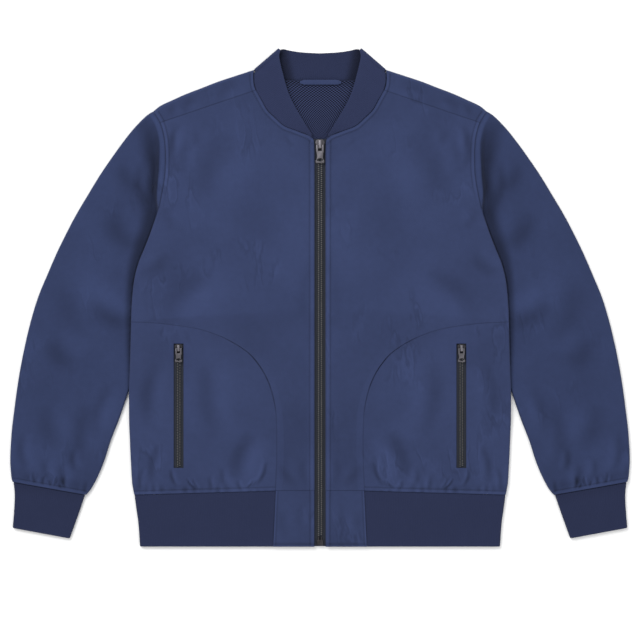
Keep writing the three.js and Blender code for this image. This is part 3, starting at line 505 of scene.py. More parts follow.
@dataclass
class Grid:
    """A cloth surface before it is a mesh: its points, shade and open cells."""

    points: Array
    # Dark seams and painted light and shade, kept as the mesh's shade attribute.
    shade: Optional[Array] = None
    open_cells: Optional[Array] = None
    closed: bool = False  # the last column lies on the first
    marker: tuple[int, int] = (0, 0)  # a cell whose outside is known
    up: bool = True  # whether that outside looks up

    def turned_out(self) -> "Grid":
        """The same grid with its faces looking outwards."""
        row, column = self.marker
        corner = self.points[row, column]
        across = self.points[row, column + 1] - corner
        onward = self.points[row + 1, column] - corner
        if (np.cross(across, onward)[2] > 0) == self.up:
            return self
        layers = (self.points, self.shade, self.open_cells)
        return Grid(*(None if layer is None else layer[:, ::-1] for layer in layers), self.closed)

    def other_side(self) -> "Grid":
        """The grid mirrored to the wearer's other side."""
        return Grid(mirror(self.points), self.shade, self.open_cells, self.closed, self.marker, self.up)

    def cut(self) -> tuple[float, float, float]:
        """Width, length and area of the flat cloth, in metres."""
        across = np.linalg.norm(np.diff(self.points, axis=1), axis=-1)
        onward = np.linalg.norm(np.diff(self.points, axis=0), axis=-1)
        corner = self.points[:-1, :-1]
        faces = np.cross(self.points[:-1, 1:] - corner, self.points[1:, :-1] - corner)
        cells = np.linalg.norm(faces, axis=-1)
        if self.open_cells is not None:
            cells = cells * ~self.open_cells
        return across.sum(axis=1).max() * MM, onward.sum(axis=0).max() * MM, cells.sum() * MM * MM

    def mesh(self, name: str, thickness: float) -> Piece:
        """Makes the shell.

        Args:
            name: Name of the piece.
            thickness: How far the shell reaches inwards, in millimetres.

        Returns:
            The piece, with its cloth coordinates as UV and its shade as an attribute.
        """
        grid = self.turned_out()
        rows, columns = grid.points.shape[:2]
        deselect()
        bpy.ops.mesh.primitive_grid_add(x_subdivisions=columns - 1, y_subdivisions=rows - 1, size=1)
        piece = bpy.context.active_object
        piece.name = piece.data.name = name
        mesh = piece.data
        flat = np.empty(len(mesh.vertices) * 3)
        mesh.vertices.foreach_get("co", flat)
        flat = flat.reshape(-1, 3)
        column = np.rint((flat[:, 0] + 0.5) * (columns - 1)).astype(int)
        row = np.rint((flat[:, 1] + 0.5) * (rows - 1)).astype(int)
        mesh.vertices.foreach_set("co", (grid.points[row, column] * MM).ravel())
        cloth = np.stack(
            np.meshgrid(run_along(grid.points, 1), run_along(grid.points, 0)), axis=-1
        )[row, column] * MM * 10
        corner = np.empty(len(mesh.loops), int)
        mesh.loops.foreach_get("vertex_index", corner)
        mesh.uv_layers.active.data.foreach_set("uv", cloth[corner].ravel())
        shade = mesh.attributes.new("shade", "FLOAT", "POINT")
        values = np.zeros(len(row)) if grid.shade is None else grid.shade[row, column]
        shade.data.foreach_set("value", values.astype(np.float32))
        if grid.open_cells is not None:
            cells = corner.reshape(-1, 4)
            self._open(piece, grid.open_cells[row[cells].min(axis=1), column[cells].min(axis=1)])
        if grid.closed:
            edit(piece, lambda: bpy.ops.mesh.remove_doubles(threshold=1e-6))
        apply_modifier(piece, "SOLIDIFY", thickness=thickness * MM, offset=-1, use_rim=True)
        self._rest(piece)
        smooth_shading(piece)
        return piece

    @staticmethod
    def _rest(piece: Piece) -> None:
        """Keeps every point of a piece above the surface that the jacket lies on."""
        places = np.empty(len(piece.data.vertices) * 3)
        piece.data.vertices.foreach_get("co", places)
        places[2::3] = np.maximum(places[2::3], 0)
        piece.data.vertices.foreach_set("co", places)

    @staticmethod
    def _open(piece: Piece, marked: Array) -> None:
        """Deletes the marked faces."""
        choose(piece)
        bpy.ops.object.mode_set(mode="EDIT")
        bpy.ops.mesh.select_all(action="DESELECT")
        bpy.ops.object.mode_set(mode="OBJECT")
        piece.data.polygons.foreach_set("select", marked)
        bpy.ops.object.mode_set(mode="EDIT")
        bpy.ops.mesh.select_mode(type="FACE")
        bpy.ops.mesh.delete(type="FACE")
        bpy.ops.mesh.select_mode(type="VERT")
        bpy.ops.object.mode_set(mode="OBJECT")


def outward(points: Array, marker: tuple[int, int]) -> Array:
    """Unit normals of a grid of points, to the side that looks up at the marked cell."""
    normal = np.cross(np.gradient(points, axis=1), np.gradient(points, axis=0))
    normal /= np.maximum(np.linalg.norm(normal, axis=-1, keepdims=True), 1e-9)
    return -normal if normal[marker][2] < 0 else normal


# Finishes


class Slot(Enum):
    """Names of the material slots."""

    SHELL = "shell_cloth"
    RIB = "rib_knit"
    LINING = "mesh_lining"
    TAPE = "zip_tape"
    METAL = "zip_metal"


class Nodes:
    """A short hand for building node trees."""

    def __init__(self, tree: Tree) -> None:
        """Starts on an empty or fresh tree."""
        self.tree = tree

    def add(self, kind: str, **inputs: object) -> Node:
        """Adds a node and fills its inputs."""
        return self.fill(self.tree.nodes.new(kind), **inputs)

    def fill(self, node: Node, **inputs: object) -> Node:
        """Sets or links a node's inputs, their names with _ for a space."""
        for name, value in inputs.items():
            self.feed(node.inputs[name.replace("_", " ")], value)
        return node

    def feed(self, socket: Socket, value: object) -> None:
        """Links a socket, or sets its value."""
        if isinstance(value, Socket):
            self.tree.links.new(value, socket)
        else:
            socket.default_value = value

    def math(self, operation: str, first: object, second: object = 0.0, third: object = 0.0) -> Socket:
        """One step of arithmetic."""
        node = self.tree.nodes.new("ShaderNodeMath")
        node.operation = operation
        for socket, value in zip(node.inputs, (first, second, third)):
            self.feed(socket, value)
        return node.outputs[0]

    def parts(self, vector: Socket) -> Sequence[Socket]:
        """The X, Y and Z of a vector."""
        return self.add("ShaderNodeSeparateXYZ", Vector=vector).outputs

    def wave(self, value: Socket, turn: Socket) -> Socket:
        """Sine of a value times a turn."""
        return self.math("SINE", self.math("MULTIPLY", value, turn))

    def noise(self, place: Socket, scale: float, detail: float = 2.0) -> Socket:
        """Noise value from 0 to 1."""
        return self.add("ShaderNodeTexNoise", Vector=place, Scale=scale, Detail=detail).outputs["Fac"]

    def scale(self, vector: object, by: object) -> Socket:
        """A vector or colour times a number."""
        node = self.add("ShaderNodeVectorMath")
        node.operation = "SCALE"
        self.feed(node.inputs[0], vector)
        self.feed(node.inputs["Scale"], by)
        return node.outputs[0]

    def use(self, tree: Tree, **inputs: object) -> Sequence[Socket]:
        """Places a shared group and returns its outputs."""
        node = self.add("ShaderNodeGroup")
        node.node_tree = tree
        return self.fill(node, **inputs).outputs

    def painted_light(self, strength: float) -> Socket:
        """Share of the colour that the piece's shade attribute leaves: its dark seams and its painted light
        and shade.
        """
        node = self.add("ShaderNodeAttribute")
        node.attribute_name = "shade"
        return self.math("SUBTRACT", 1.0, self.math("MULTIPLY", node.outputs["Fac"], strength))


def group(name: str, number: str, default: float, *outputs: str) -> tuple:
    """Starts a shader node group that reads a place and one number.

    Args:
        name: Name of the group.
        number: Name of its number.
        default: The number's default.
        outputs: Names of the value outputs.

    Returns:
        The tree, its Nodes helper, the place, the number and the outputs' sockets.
    """
    tree = bpy.data.node_groups.new(name, "ShaderNodeTree")
    tree.interface.new_socket("Place", in_out="INPUT", socket_type="NodeSocketVector")
    socket = tree.interface.new_socket(number, in_out="INPUT", socket_type="NodeSocketFloat")
    socket.default_value = default
    for label in outputs:
        tree.interface.new_socket(label, in_out="OUTPUT", socket_type="NodeSocketFloat")
    pad = Nodes(tree)
    given = pad.add("NodeGroupInput").outputs
    return tree, pad, given["Place"], given[number], pad.add("NodeGroupOutput").inputs


def new_material(name: str) -> tuple[Material, Nodes, Node]:
    """A new material, its Nodes helper and its shader."""
    made = bpy.data.materials.new(name)
    made.use_nodes = True
    return made, Nodes(made.node_tree), made.node_tree.nodes["Principled BSDF"]


class Effects:
    """Shader node groups that several finishes share. Each is built once."""

    def __init__(self) -> None:
        """Builds the groups."""
        self.twill = self._twill()
        self.mottle = self._mottle()
        self.knit = self._knit()
        self.net = self._net()
        self.creases = self._creases()

    @staticmethod
    def _twill() -> Tree:
        """Diagonal ridges of yarn, uneven along their length."""
        tree, pad, place, pitch, made = group("twill_weave", "Pitch", 0.0011, "Height")
        parts = pad.parts(place)
        turn = pad.math("DIVIDE", 2 * math.pi, pitch)
        wander = pad.math("MULTIPLY", pad.noise(place, 420), 0.0006)
        slant = pad.math("ADD", pad.math("ADD", parts["X"], wander), pad.math("MULTIPLY", parts["Y"], 0.62))
        cross = pad.math("SUBTRACT", parts["Y"], pad.math("MULTIPLY", parts["X"], 0.3))
        ridge = pad.wave(slant, turn)
        yarn = pad.math("SINE", pad.math("MULTIPLY", cross, pad.math("MULTIPLY", turn, 1.45)))
        total = pad.math("MULTIPLY_ADD", yarn, 0.35, pad.math("MULTIPLY_ADD", ridge, 0.45, 0.5))
        pad.feed(made["Height"], total)
        return tree

    @staticmethod
    def _mottle() -> Tree:
        """Slow and fine unevenness of a dyed, washed cloth, about 1."""
        tree, pad, place, amount, made = group("dye_mottle", "Amount", 0.1, "Shade", "Fuzz")
        slow = pad.math("SUBTRACT", pad.noise(place, 14, 3), 0.5)
        fine = pad.math("SUBTRACT", pad.noise(place, 130, 4), 0.5)
        cloudy = pad.math("SUBTRACT", pad.noise(place, 45, 4), 0.5)
        both = pad.math("ADD", pad.math("MULTIPLY_ADD", fine, 1.0, slow), pad.math("MULTIPLY", cloudy, 0.8))
        pad.feed(made["Shade"], pad.math("MULTIPLY_ADD", both, amount, 1.0))
        pad.feed(made["Fuzz"], pad.noise(place, 900, 3))
        return tree

    @staticmethod
    def _knit() -> Tree:
        """Rows of small V stitches along each rib."""
        tree, pad, place, pitch, made = group("rib_stitches", "Pitch", 0.0013, "Height")
        parts = pad.parts(place)
        across = pad.math("PINGPONG", parts["X"], 0.00055)
        lean = pad.math("MULTIPLY_ADD", across, 0.9, parts["Y"])
        turn = pad.math("DIVIDE", 2 * math.pi, pitch)
        pad.feed(made["Height"], pad.math("MULTIPLY_ADD", pad.wave(lean, turn), 0.4, 0.5))
        return tree

    @staticmethod
    def _creases() -> Tree:
        """Sparse fine creases down the cloth as painted shade: a dark line with a painted lighter one beside
        it, and 0 elsewhere.
        """
        tree, pad, place, spread, made = group("fine_creases", "Spread", 0.54, "Mark")
        parts = pad.parts(place)
        drawn = pad.add(
            "ShaderNodeCombineXYZ", X=pad.math("MULTIPLY_ADD", parts["Y"], 0.12, parts["X"]),
            Y=pad.math("MULTIPLY", parts["Y"], 0.3), Z=parts["Z"],
        ).outputs[0]
        wander = pad.noise(drawn, 44, 3)
        away = [pad.math("ABSOLUTE", pad.math("SUBTRACT", wander, middle)) for middle in (0.5, 0.555)]
        lines = [pad.math("MULTIPLY_ADD", value, -26.0, 1.0) for value in away]
        trough, ridge = (pad.math("MAXIMUM", line, 0.0) for line in lines)
        pair = pad.math("MULTIPLY_ADD", ridge, 0.7, pad.math("MULTIPLY", trough, -1.0))
        where = pad.math("MULTIPLY", pad.math("SUBTRACT", pad.noise(place, 11, 2), spread), 9.0)
        shown = pad.math("MINIMUM", pad.math("MAXIMUM", where, 0.0), 1.0)
        pad.feed(made["Mark"], pad.math("MULTIPLY", pair, shown))
        return tree

    @staticmethod
    def _net() -> Tree:
        """Knitted mesh: diagonal rows of small holes."""
        tree, pad, place, pitch, made = group("mesh_net", "Pitch", 0.0037, "Height")
        parts = pad.parts(place)
        turn = pad.math("DIVIDE", 2 * math.pi, pitch)
        knot = pad.math("MULTIPLY", pad.wave(parts["X"], turn), pad.wave(parts["Y"], turn))
        pad.feed(made["Height"], pad.math("MULTIPLY_ADD", knot, 0.6, 0.5))
        return tree


class Pattern(Enum):
    """The surface pattern of a cloth finish: the effect that makes it and the width of its repeat."""

    TWILL = ("twill", 0.0011)
    KNIT = ("knit", 0.0013)
    NET = ("net", 0.0037)
    TAPE = ("twill", 0.0008)


@dataclass(frozen=True)
class ClothFinish:
    """A matt textile: its colour, pattern, and how strongly dark seams and painted light and shade darken it.
    """

    name: str
    colour: tuple[float, float, float]
    pattern: Pattern
    relief: float = 0.00012  # depth of the pattern in metres
    mottle: float = 0.16
    seam_and_painted_shade: float = 0.3
    pattern_dark: float = 0.16
    roughness: float = 0.92
    sheen: float = 0.05
    # Strength of the fine creases' painted shade and highlight in the colour.
    crease_painted_shade: float = 0.0  # strength of the fine creases

    def material(self, effects: Effects) -> Material:
        """Builds the finish.

        Args:
            effects: The shared node groups.

        Returns:
            The material.
        """
        made, pad, shader = new_material(self.name)
        place = pad.add("ShaderNodeTexCoord").outputs["Object"]
        cloth = pad.scale(pad.add("ShaderNodeUVMap").outputs["UV"], 0.1)
        effect, pitch = self.pattern.value
        height = pad.use(getattr(effects, effect), Place=cloth, Pitch=pitch)[0]
        mottle = pad.use(effects.mottle, Place=place, Amount=self.mottle)
        tone = pad.math("MULTIPLY_ADD", pad.math("SUBTRACT", height, 0.5), self.pattern_dark, 1.0)
        tone = pad.math("MULTIPLY", tone, mottle["Shade"])
        # Dark seams and painted light and shade, from the piece's shade attribute.
        tone = pad.math("MULTIPLY", tone, pad.painted_light(self.seam_and_painted_shade))
        fuzz = pad.math("MULTIPLY_ADD", mottle["Fuzz"], 0.5, height)
        if self.crease_painted_shade:
            # Painted shade and highlight of the fine creases, which also bump the cloth.
            mark = pad.use(effects.creases, Place=place)[0]
            tone = pad.math("MULTIPLY", tone, pad.math("MULTIPLY_ADD", mark, self.crease_painted_shade, 1.0))
            fuzz = pad.math("MULTIPLY_ADD", mark, 0.8, fuzz)
        bump = pad.add("ShaderNodeBump", Height=fuzz, Distance=self.relief, Strength=0.8)
        pad.fill(
            shader, Base_Color=pad.scale(self.colour, tone), Normal=bump.outputs["Normal"],
            Roughness=self.roughness, Sheen_Weight=self.sheen, Sheen_Roughness=0.5, Specular_IOR_Level=0.14,
        )
        return made


@dataclass(frozen=True)
class MetalFinish:
    """Plated zip metal of uneven tone, with painted light and shade: darker low down and on its sides,
    lighter on its highest parts.
    """

    name: str
    colour: tuple[float, float, float]
    roughness: float = 0.42
    # Painted light and shade by height: tones of the low, middle and high parts.
    painted_light_tones: tuple[float, float, float] = (1.0, 1.0, 1.0)  # of the low, middle and high parts
    lower_ramp: Pair = (0.0078, 0.0092)  # heights over which low turns to middle
    upper_ramp: Pair = (0.0101, 0.0108)  # heights over which middle turns to high
    # How much painted shade darkens the sides and edges.
    painted_edge_shade: float = 0.6

    def material(self, effects: Effects) -> Material:
        """Builds the finish.

        Args:
            effects: The shared node groups.

        Returns:
            The material.
        """
        made, pad, shader = new_material(self.name)
        place = pad.add("ShaderNodeTexCoord").outputs["Object"]
        grain = pad.noise(place, 2600, 2)
        level = pad.parts(place)["Z"]
        # Painted light and shade: darker low down, lighter higher up.
        low, middle, high = self.painted_light_tones
        lower = self._ramp(pad, level, self.lower_ramp, (low, middle))
        upper = self._ramp(pad, level, self.upper_ramp, (0.0, high - middle))
        mottle = pad.use(effects.mottle, Place=place, Amount=0.3)
        tone = pad.math("MULTIPLY", pad.math("ADD", lower, upper), mottle["Shade"])
        # Painted shade on the sides and edges, from the piece's shade attribute.
        tone = pad.math("MULTIPLY", tone, pad.painted_light(self.painted_edge_shade))
        bump = pad.add("ShaderNodeBump", Height=grain, Distance=0.00002, Strength=0.5)
        pad.fill(
            shader, Base_Color=pad.scale(self.colour, tone), Normal=bump.outputs["Normal"], Metallic=0.85,
            Roughness=pad.math("MULTIPLY_ADD", grain, 0.2, self.roughness - 0.1),
        )
        return made

    @staticmethod
    def _ramp(pad: Nodes, level: Socket, heights: Pair, painted_light_tones: Pair) -> Socket:
        """Painted tone that changes between two heights and stays the same below and above them."""
        (start, end), (low, high) = heights, painted_light_tones
        return pad.add(
            "ShaderNodeMapRange", Value=level, From_Min=start, From_Max=end, To_Min=low, To_Max=high,
        ).outputs[0]


class Wardrobe:
    """All finishes of the jacket, by name."""

    def __init__(self) -> None:
        """Builds every material once."""
        effects = Effects()
        finishes = (
            ClothFinish("navy_twill", (0.0290, 0.0412, 0.1020), Pattern.TWILL, crease_painted_shade=0.16),
            # The same twill in a darker copy for the sleeves: painted shade.
            ClothFinish("navy_twill_sleeve_painted_shade", (0.0255, 0.0370, 0.0930), Pattern.TWILL, crease_painted_shade=0.14),
            ClothFinish(
                "navy_rib", (0.0185, 0.0247, 0.0625), Pattern.KNIT,
                relief=0.00015, mottle=0.08, seam_and_painted_shade=0.2, pattern_dark=0.12,
            ),
            ClothFinish(
                "navy_mesh", (0.0150, 0.0200, 0.0500), Pattern.NET,
                relief=0.0003, mottle=0.08, seam_and_painted_shade=0.3, pattern_dark=2.8,
            ),
            ClothFinish(
                "navy_thread", (0.0310, 0.0440, 0.1060), Pattern.TWILL,
                relief=0.00005, mottle=0.05, seam_and_painted_shade=0.0,
            ),
            ClothFinish(
                "zip_tape_weave", (0.0245, 0.0275, 0.0370), Pattern.TAPE,
                relief=0.0001, mottle=0.06, seam_and_painted_shade=0.3, pattern_dark=0.2,
            ),
            MetalFinish("gunmetal", (0.105, 0.1, 0.113), painted_light_tones=(0.35, 1.0, 1.6)),
            # One metal in two copies: painted shade on the teeth, a painted highlight on their points.
            MetalFinish("teeth_painted_shade", (0.035, 0.039, 0.048), roughness=0.45),
            MetalFinish("tooth_points_painted_highlight", (0.235, 0.232, 0.235), roughness=0.4),
        )
        self.materials = {finish.name: finish.material(effects) for finish in finishes}

    def dress(self, piece: Piece, finish: str, slot: Slot, body: str = "root") -> None:
        """Gives a piece its finish and the body that it moves with."""
        piece.data.materials.clear()
        piece.data.materials.append(self.materials[finish])
        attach(piece, body)
        LOG.info("%s: %s, %d faces", piece.name, finish, len(piece.data.polygons))


@dataclass
class SubAssembly:
    """What every sub-assembly shares: the body's form and the finishes."""

    wardrobe: Wardrobe
    body: BodyForm = field(default_factory=BodyForm)

    def sheet(
        self, grid: Grid, name: str, node: str, finish: str, slot: Slot, rests_on: str,
        thickness: float = SHELL, extra: Sequence[Piece] = (),
    ) -> Piece:
        """Makes a cloth piece, dresses it and logs its cut.

        Args:
            grid: The outer face.
            name: Name of the piece.
            node: The node that it stands for.
            finish: Name of its finish.
            slot: The material slot, not used.
            rests_on: Node or piece that it lies on, not used.
            thickness: Thickness of the shell in millimetres.
            extra: Separate pieces on it, such as its stitches, not used.

        Returns:
            The piece.
        """
        piece = grid.mesh(name, thickness)
        self.wardrobe.dress(piece, finish, slot)
        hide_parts(node)
        width, length, area = grid.cut()
        area = min(area, width * length)
        LOG.info("%s: cut %.0f x %.0f mm, %.4f m2", name, width / MM, length / MM, area)
        return piece

    def both_sides(
        self, grid: Grid, name: str, node: str, finish: str, slot: Slot, rests_on: str,
        stitches: Sequence[Optional[Piece]] = (None, None),
    ) -> None:
        """Makes a pair of pieces, the wearer's left one first, each with its own stitches."""
        for side, made, sewn in zip(("left", "right"), (grid, grid.other_side()), stitches):
            extra = (sewn,) if sewn else ()
            self.sheet(made, f"{name}_{side}", f"{node}_{side}", finish, slot, rests_on, extra=extra)


@dataclass
class Needle:
    """Sews rows of stitches: one stitch is modelled and copied along the row into one mesh."""

    wardrobe: Wardrobe
    length: float = 2.3
    pitch: float = 3.1
    radius: float = 0.3

    def sew(self, name: str, rows: Sequence[Array], face: HeightAt) -> Piece:
        """Sews stitches along rows in plan.

        Args:
            name: Name of the piece.
            rows: Lines of (x, y) points, in millimetres.
            face: Height of the cloth at each place.

        Returns:
            The stitches of all rows as one piece.
        """
        deselect()
        bpy.ops.mesh.primitive_uv_sphere_add(segments=5, ring_count=4, radius=1)
        one = bpy.context.active_object
        set_place(one, lying=True)
        shape = np.array([v.co[:] for v in one.data.vertices])
        faces = [tuple(p.vertices) for p in one.data.polygons]
        bpy.data.objects.remove(one)
        shape = shape * [self.length / 2, self.radius, self.radius * 0.8]
        vertices, polygons = [], []
        for row in rows:
            run = run_along(row[:, None], 0)
            count = int(run[-1] // self.pitch)
            at = (np.arange(count) + 0.5) * run[-1] / max(count, 1)
            x, y = np.interp(at, run, row[:, 0]), np.interp(at, run, row[:, 1])
            ahead = at + 0.5
            way = np.stack([np.interp(ahead, run, row[:, 0]) - x, np.interp(ahead, run, row[:, 1]) - y])
            way = way / np.maximum(np.linalg.norm(way, axis=0), 1e-9)
            z = face(x, y)
            for index in range(count):
                cos, sin = way[:, index]
                turned = shape @ np.array([[cos, sin, 0], [-sin, cos, 0], [0, 0, 1]])
                start = len(vertices) * len(shape)
                vertices.append(turned + [x[index], y[index], z[index]])
                polygons.extend(tuple(start + i for i in face_) for face_ in faces)
        mesh = bpy.data.meshes.new(name)
        mesh.from_pydata((np.concatenate(vertices) * MM).tolist(), [], polygons)
        piece = bpy.data.objects.new(name, mesh)
        bpy.context.collection.objects.link(piece)
        mesh.uv_layers.new(name="UVMap")
        edit(piece, lambda: bpy.ops.mesh.normals_make_consistent(inside=False))
        smooth_shading(piece, 80)
        self.wardrobe.dress(piece, "navy_thread", Slot.SHELL)
        return piece

    def sew_both(self, name: str, rows: Sequence[Array], face: HeightAt) -> tuple:
        """Sews the same rows on the wearer's left and, mirrored, on the right."""
        left = self.sew(name + "_left", rows, face)
        return left, self.sew(name + "_right", [mirror(row) for row in rows], lambda x, y: face(-x, y))


def beside(line: Array, distance: float, start: float = 0.0, end: float = 0.0) -> Array:
    """A line moved to its left in plan, without its first and last stretch.

    Args:
        line: Points of the line.
        distance: How far to move it, negative for the right.
        start: Length left out at its start.
        end: Length left out at its end.

    Returns:
        The moved line.
    """
    run = run_along(line[:, None], 0)
    at = np.linspace(start, run[-1] - end, max(8, int(run[-1] / 2.5)))
    x, y = np.interp(at, run, line[:, 0]), np.interp(at, run, line[:, 1])
    way = np.stack([np.gradient(x), np.gradient(y)], axis=1)
    way /= np.linalg.norm(way, axis=1, keepdims=True)
    return np.stack([x - way[:, 1] * distance, y + way[:, 0] * distance], axis=1)


def fold_points(end: Sequence[Array], way: Sequence[Array], low: Array, high: Array, turns: Array) -> Array:
    """Points of a fold: from its end in plan, out and round by the given angles."""
    radius = (high - low) / 2
    reach = radius * np.cos(turns)
    z = low + radius + radius * np.sin(turns)
    return np.stack([end[0] + way[0] * reach, end[1] + way[1] * reach, z], axis=-1)


@dataclass
class FrontPanels(SubAssembly):
    """Both front panels, from the zip edge to the pocket seam, side and armhole."""

    row_cells: int = 140
    cells: int = 62
    zip_band: float = 6.4
    zip_lip: float = 0.6  # how far the cloth edge reaches over the tape
    neck_band: float = 5.0
    arm_band: float = 5.5

    def __post_init__(self) -> None:
        """Lays out the fine grid in plan and the relief on it."""
        table = np.array(FRONT_ROWS, float)
        ends = table.reshape(-1, 2, 2)
        run = run_along(ends, 0)
        rows = Track(run, table)(ladder(run[-1], EDGE_STEPS, EDGE_STEPS, self.row_cells))
        on_side = rows[:, 3] > table[FRONT_CORNER_ROW, 3]
        rows[:, 2] = np.where(on_side, self.body.side(rows[:, 3]), rows[:, 2])
        start, end = rows[:, :2], rows[:, 2:]
        length = np.linalg.norm(end - start, axis=1)
        along = ladder(length, EDGE_STEPS, ROLL_STEPS, self.cells)
        way = (end - start) / length[:, None]
        in_y, out_y = start[:, 1], end[:, 1]
        neck = in_y >= table[NECK_ROW, 1] - 1
        rolled = (out_y > table[FRONT_CORNER_ROW, 3]) & (out_y < UNDERARM_Y)
        self.plan = let_out(
            start[:, None] + way[:, None] * along[..., None],
            left=np.where(neck, OVERLAP, self.zip_lip), right=np.where(rolled, 0, OVERLAP),
        )
        self.zip_line = start[~neck]
        self.neck_line = start[neck]
        self.arm_line = end[out_y >= UNDERARM_Y]
        self.pocket_line = end[out_y <= table[FRONT_CORNER_ROW, 3]]
        self.shoulder_line = self.plan[-1]
        self.hem_line = self.plan[0]
        self.face = ClothFace(
            seams=(
                SeamEdge(self.zip_line, self.zip_band, 0.5), SeamEdge(self.neck_line, self.neck_band, 0.45),
                SeamEdge(self.arm_line, dark=1.3), SeamEdge(self.pocket_line, dark=0.35),
                SeamEdge(self.shoulder_line, dark=0.75), SeamEdge(self.hem_line, dark=0.45),
                SeamEdge(self.arm_line, self.arm_band, 0.3, 0, dark=0, band_from=130),
            ),
            creases=(
                (204, 250, 208, 204, 5, 0.55), (211, 236, 205, 178, 5, 0.5),
                (190, 226, 197, 172, 8, 0.4), (49, 229, 38, 214, 3, 0.35),
                (176, 240, 172, 214, 6, 0.3), (222, 128, 206, 96, 7, 0.35),
                (12, 60, 22, -40, 8, 0.25), (150, 40, 224, -18, 14, 0.5),
                (58, -236, 34, -268, 6, 0.4), (24, -226, 22, -266, 5, 0.3),
                (252, 30, 214, 62, 9, 0.45), (130, 236, 176, 128, 20, 0.5),
            ),
        )

    def top(self, x: Array, y: Array) -> Array:
        """Height of the finished outer face."""
        return self.body.face(x, y, 1) + self.face.relief(x, y)[0]

    def build(self) -> None:
        """Makes both panels and their topstitching."""
        x, y = self.plan[..., 0], self.plan[..., 1]
        relief, shade = self.face.relief(x, y)
        # Painted shade, darker towards the neck seam.
        shade = shade + 0.3 * (1 - smooth(0, 60, distance_to(self.neck_line, x, y)))
        points = np.stack([x, y, self.body.face(x, y, 1) + relief], axis=-1)
        grid = Grid(points, shade, marker=(60, 40))
        rows = [
            beside(self.zip_line, -self.zip_band, 2, 2), beside(self.neck_line, -self.neck_band, 5, 1),
            beside(self.arm_line, self.arm_band, 2, 1),
        ]
        sewn = Needle(self.wardrobe).sew_both("front_topstitch", rows, self.top)
        self.both_sides(grid, "front_cloth", "front_panel", "navy_twill", Slot.SHELL, "back_panel", sewn)


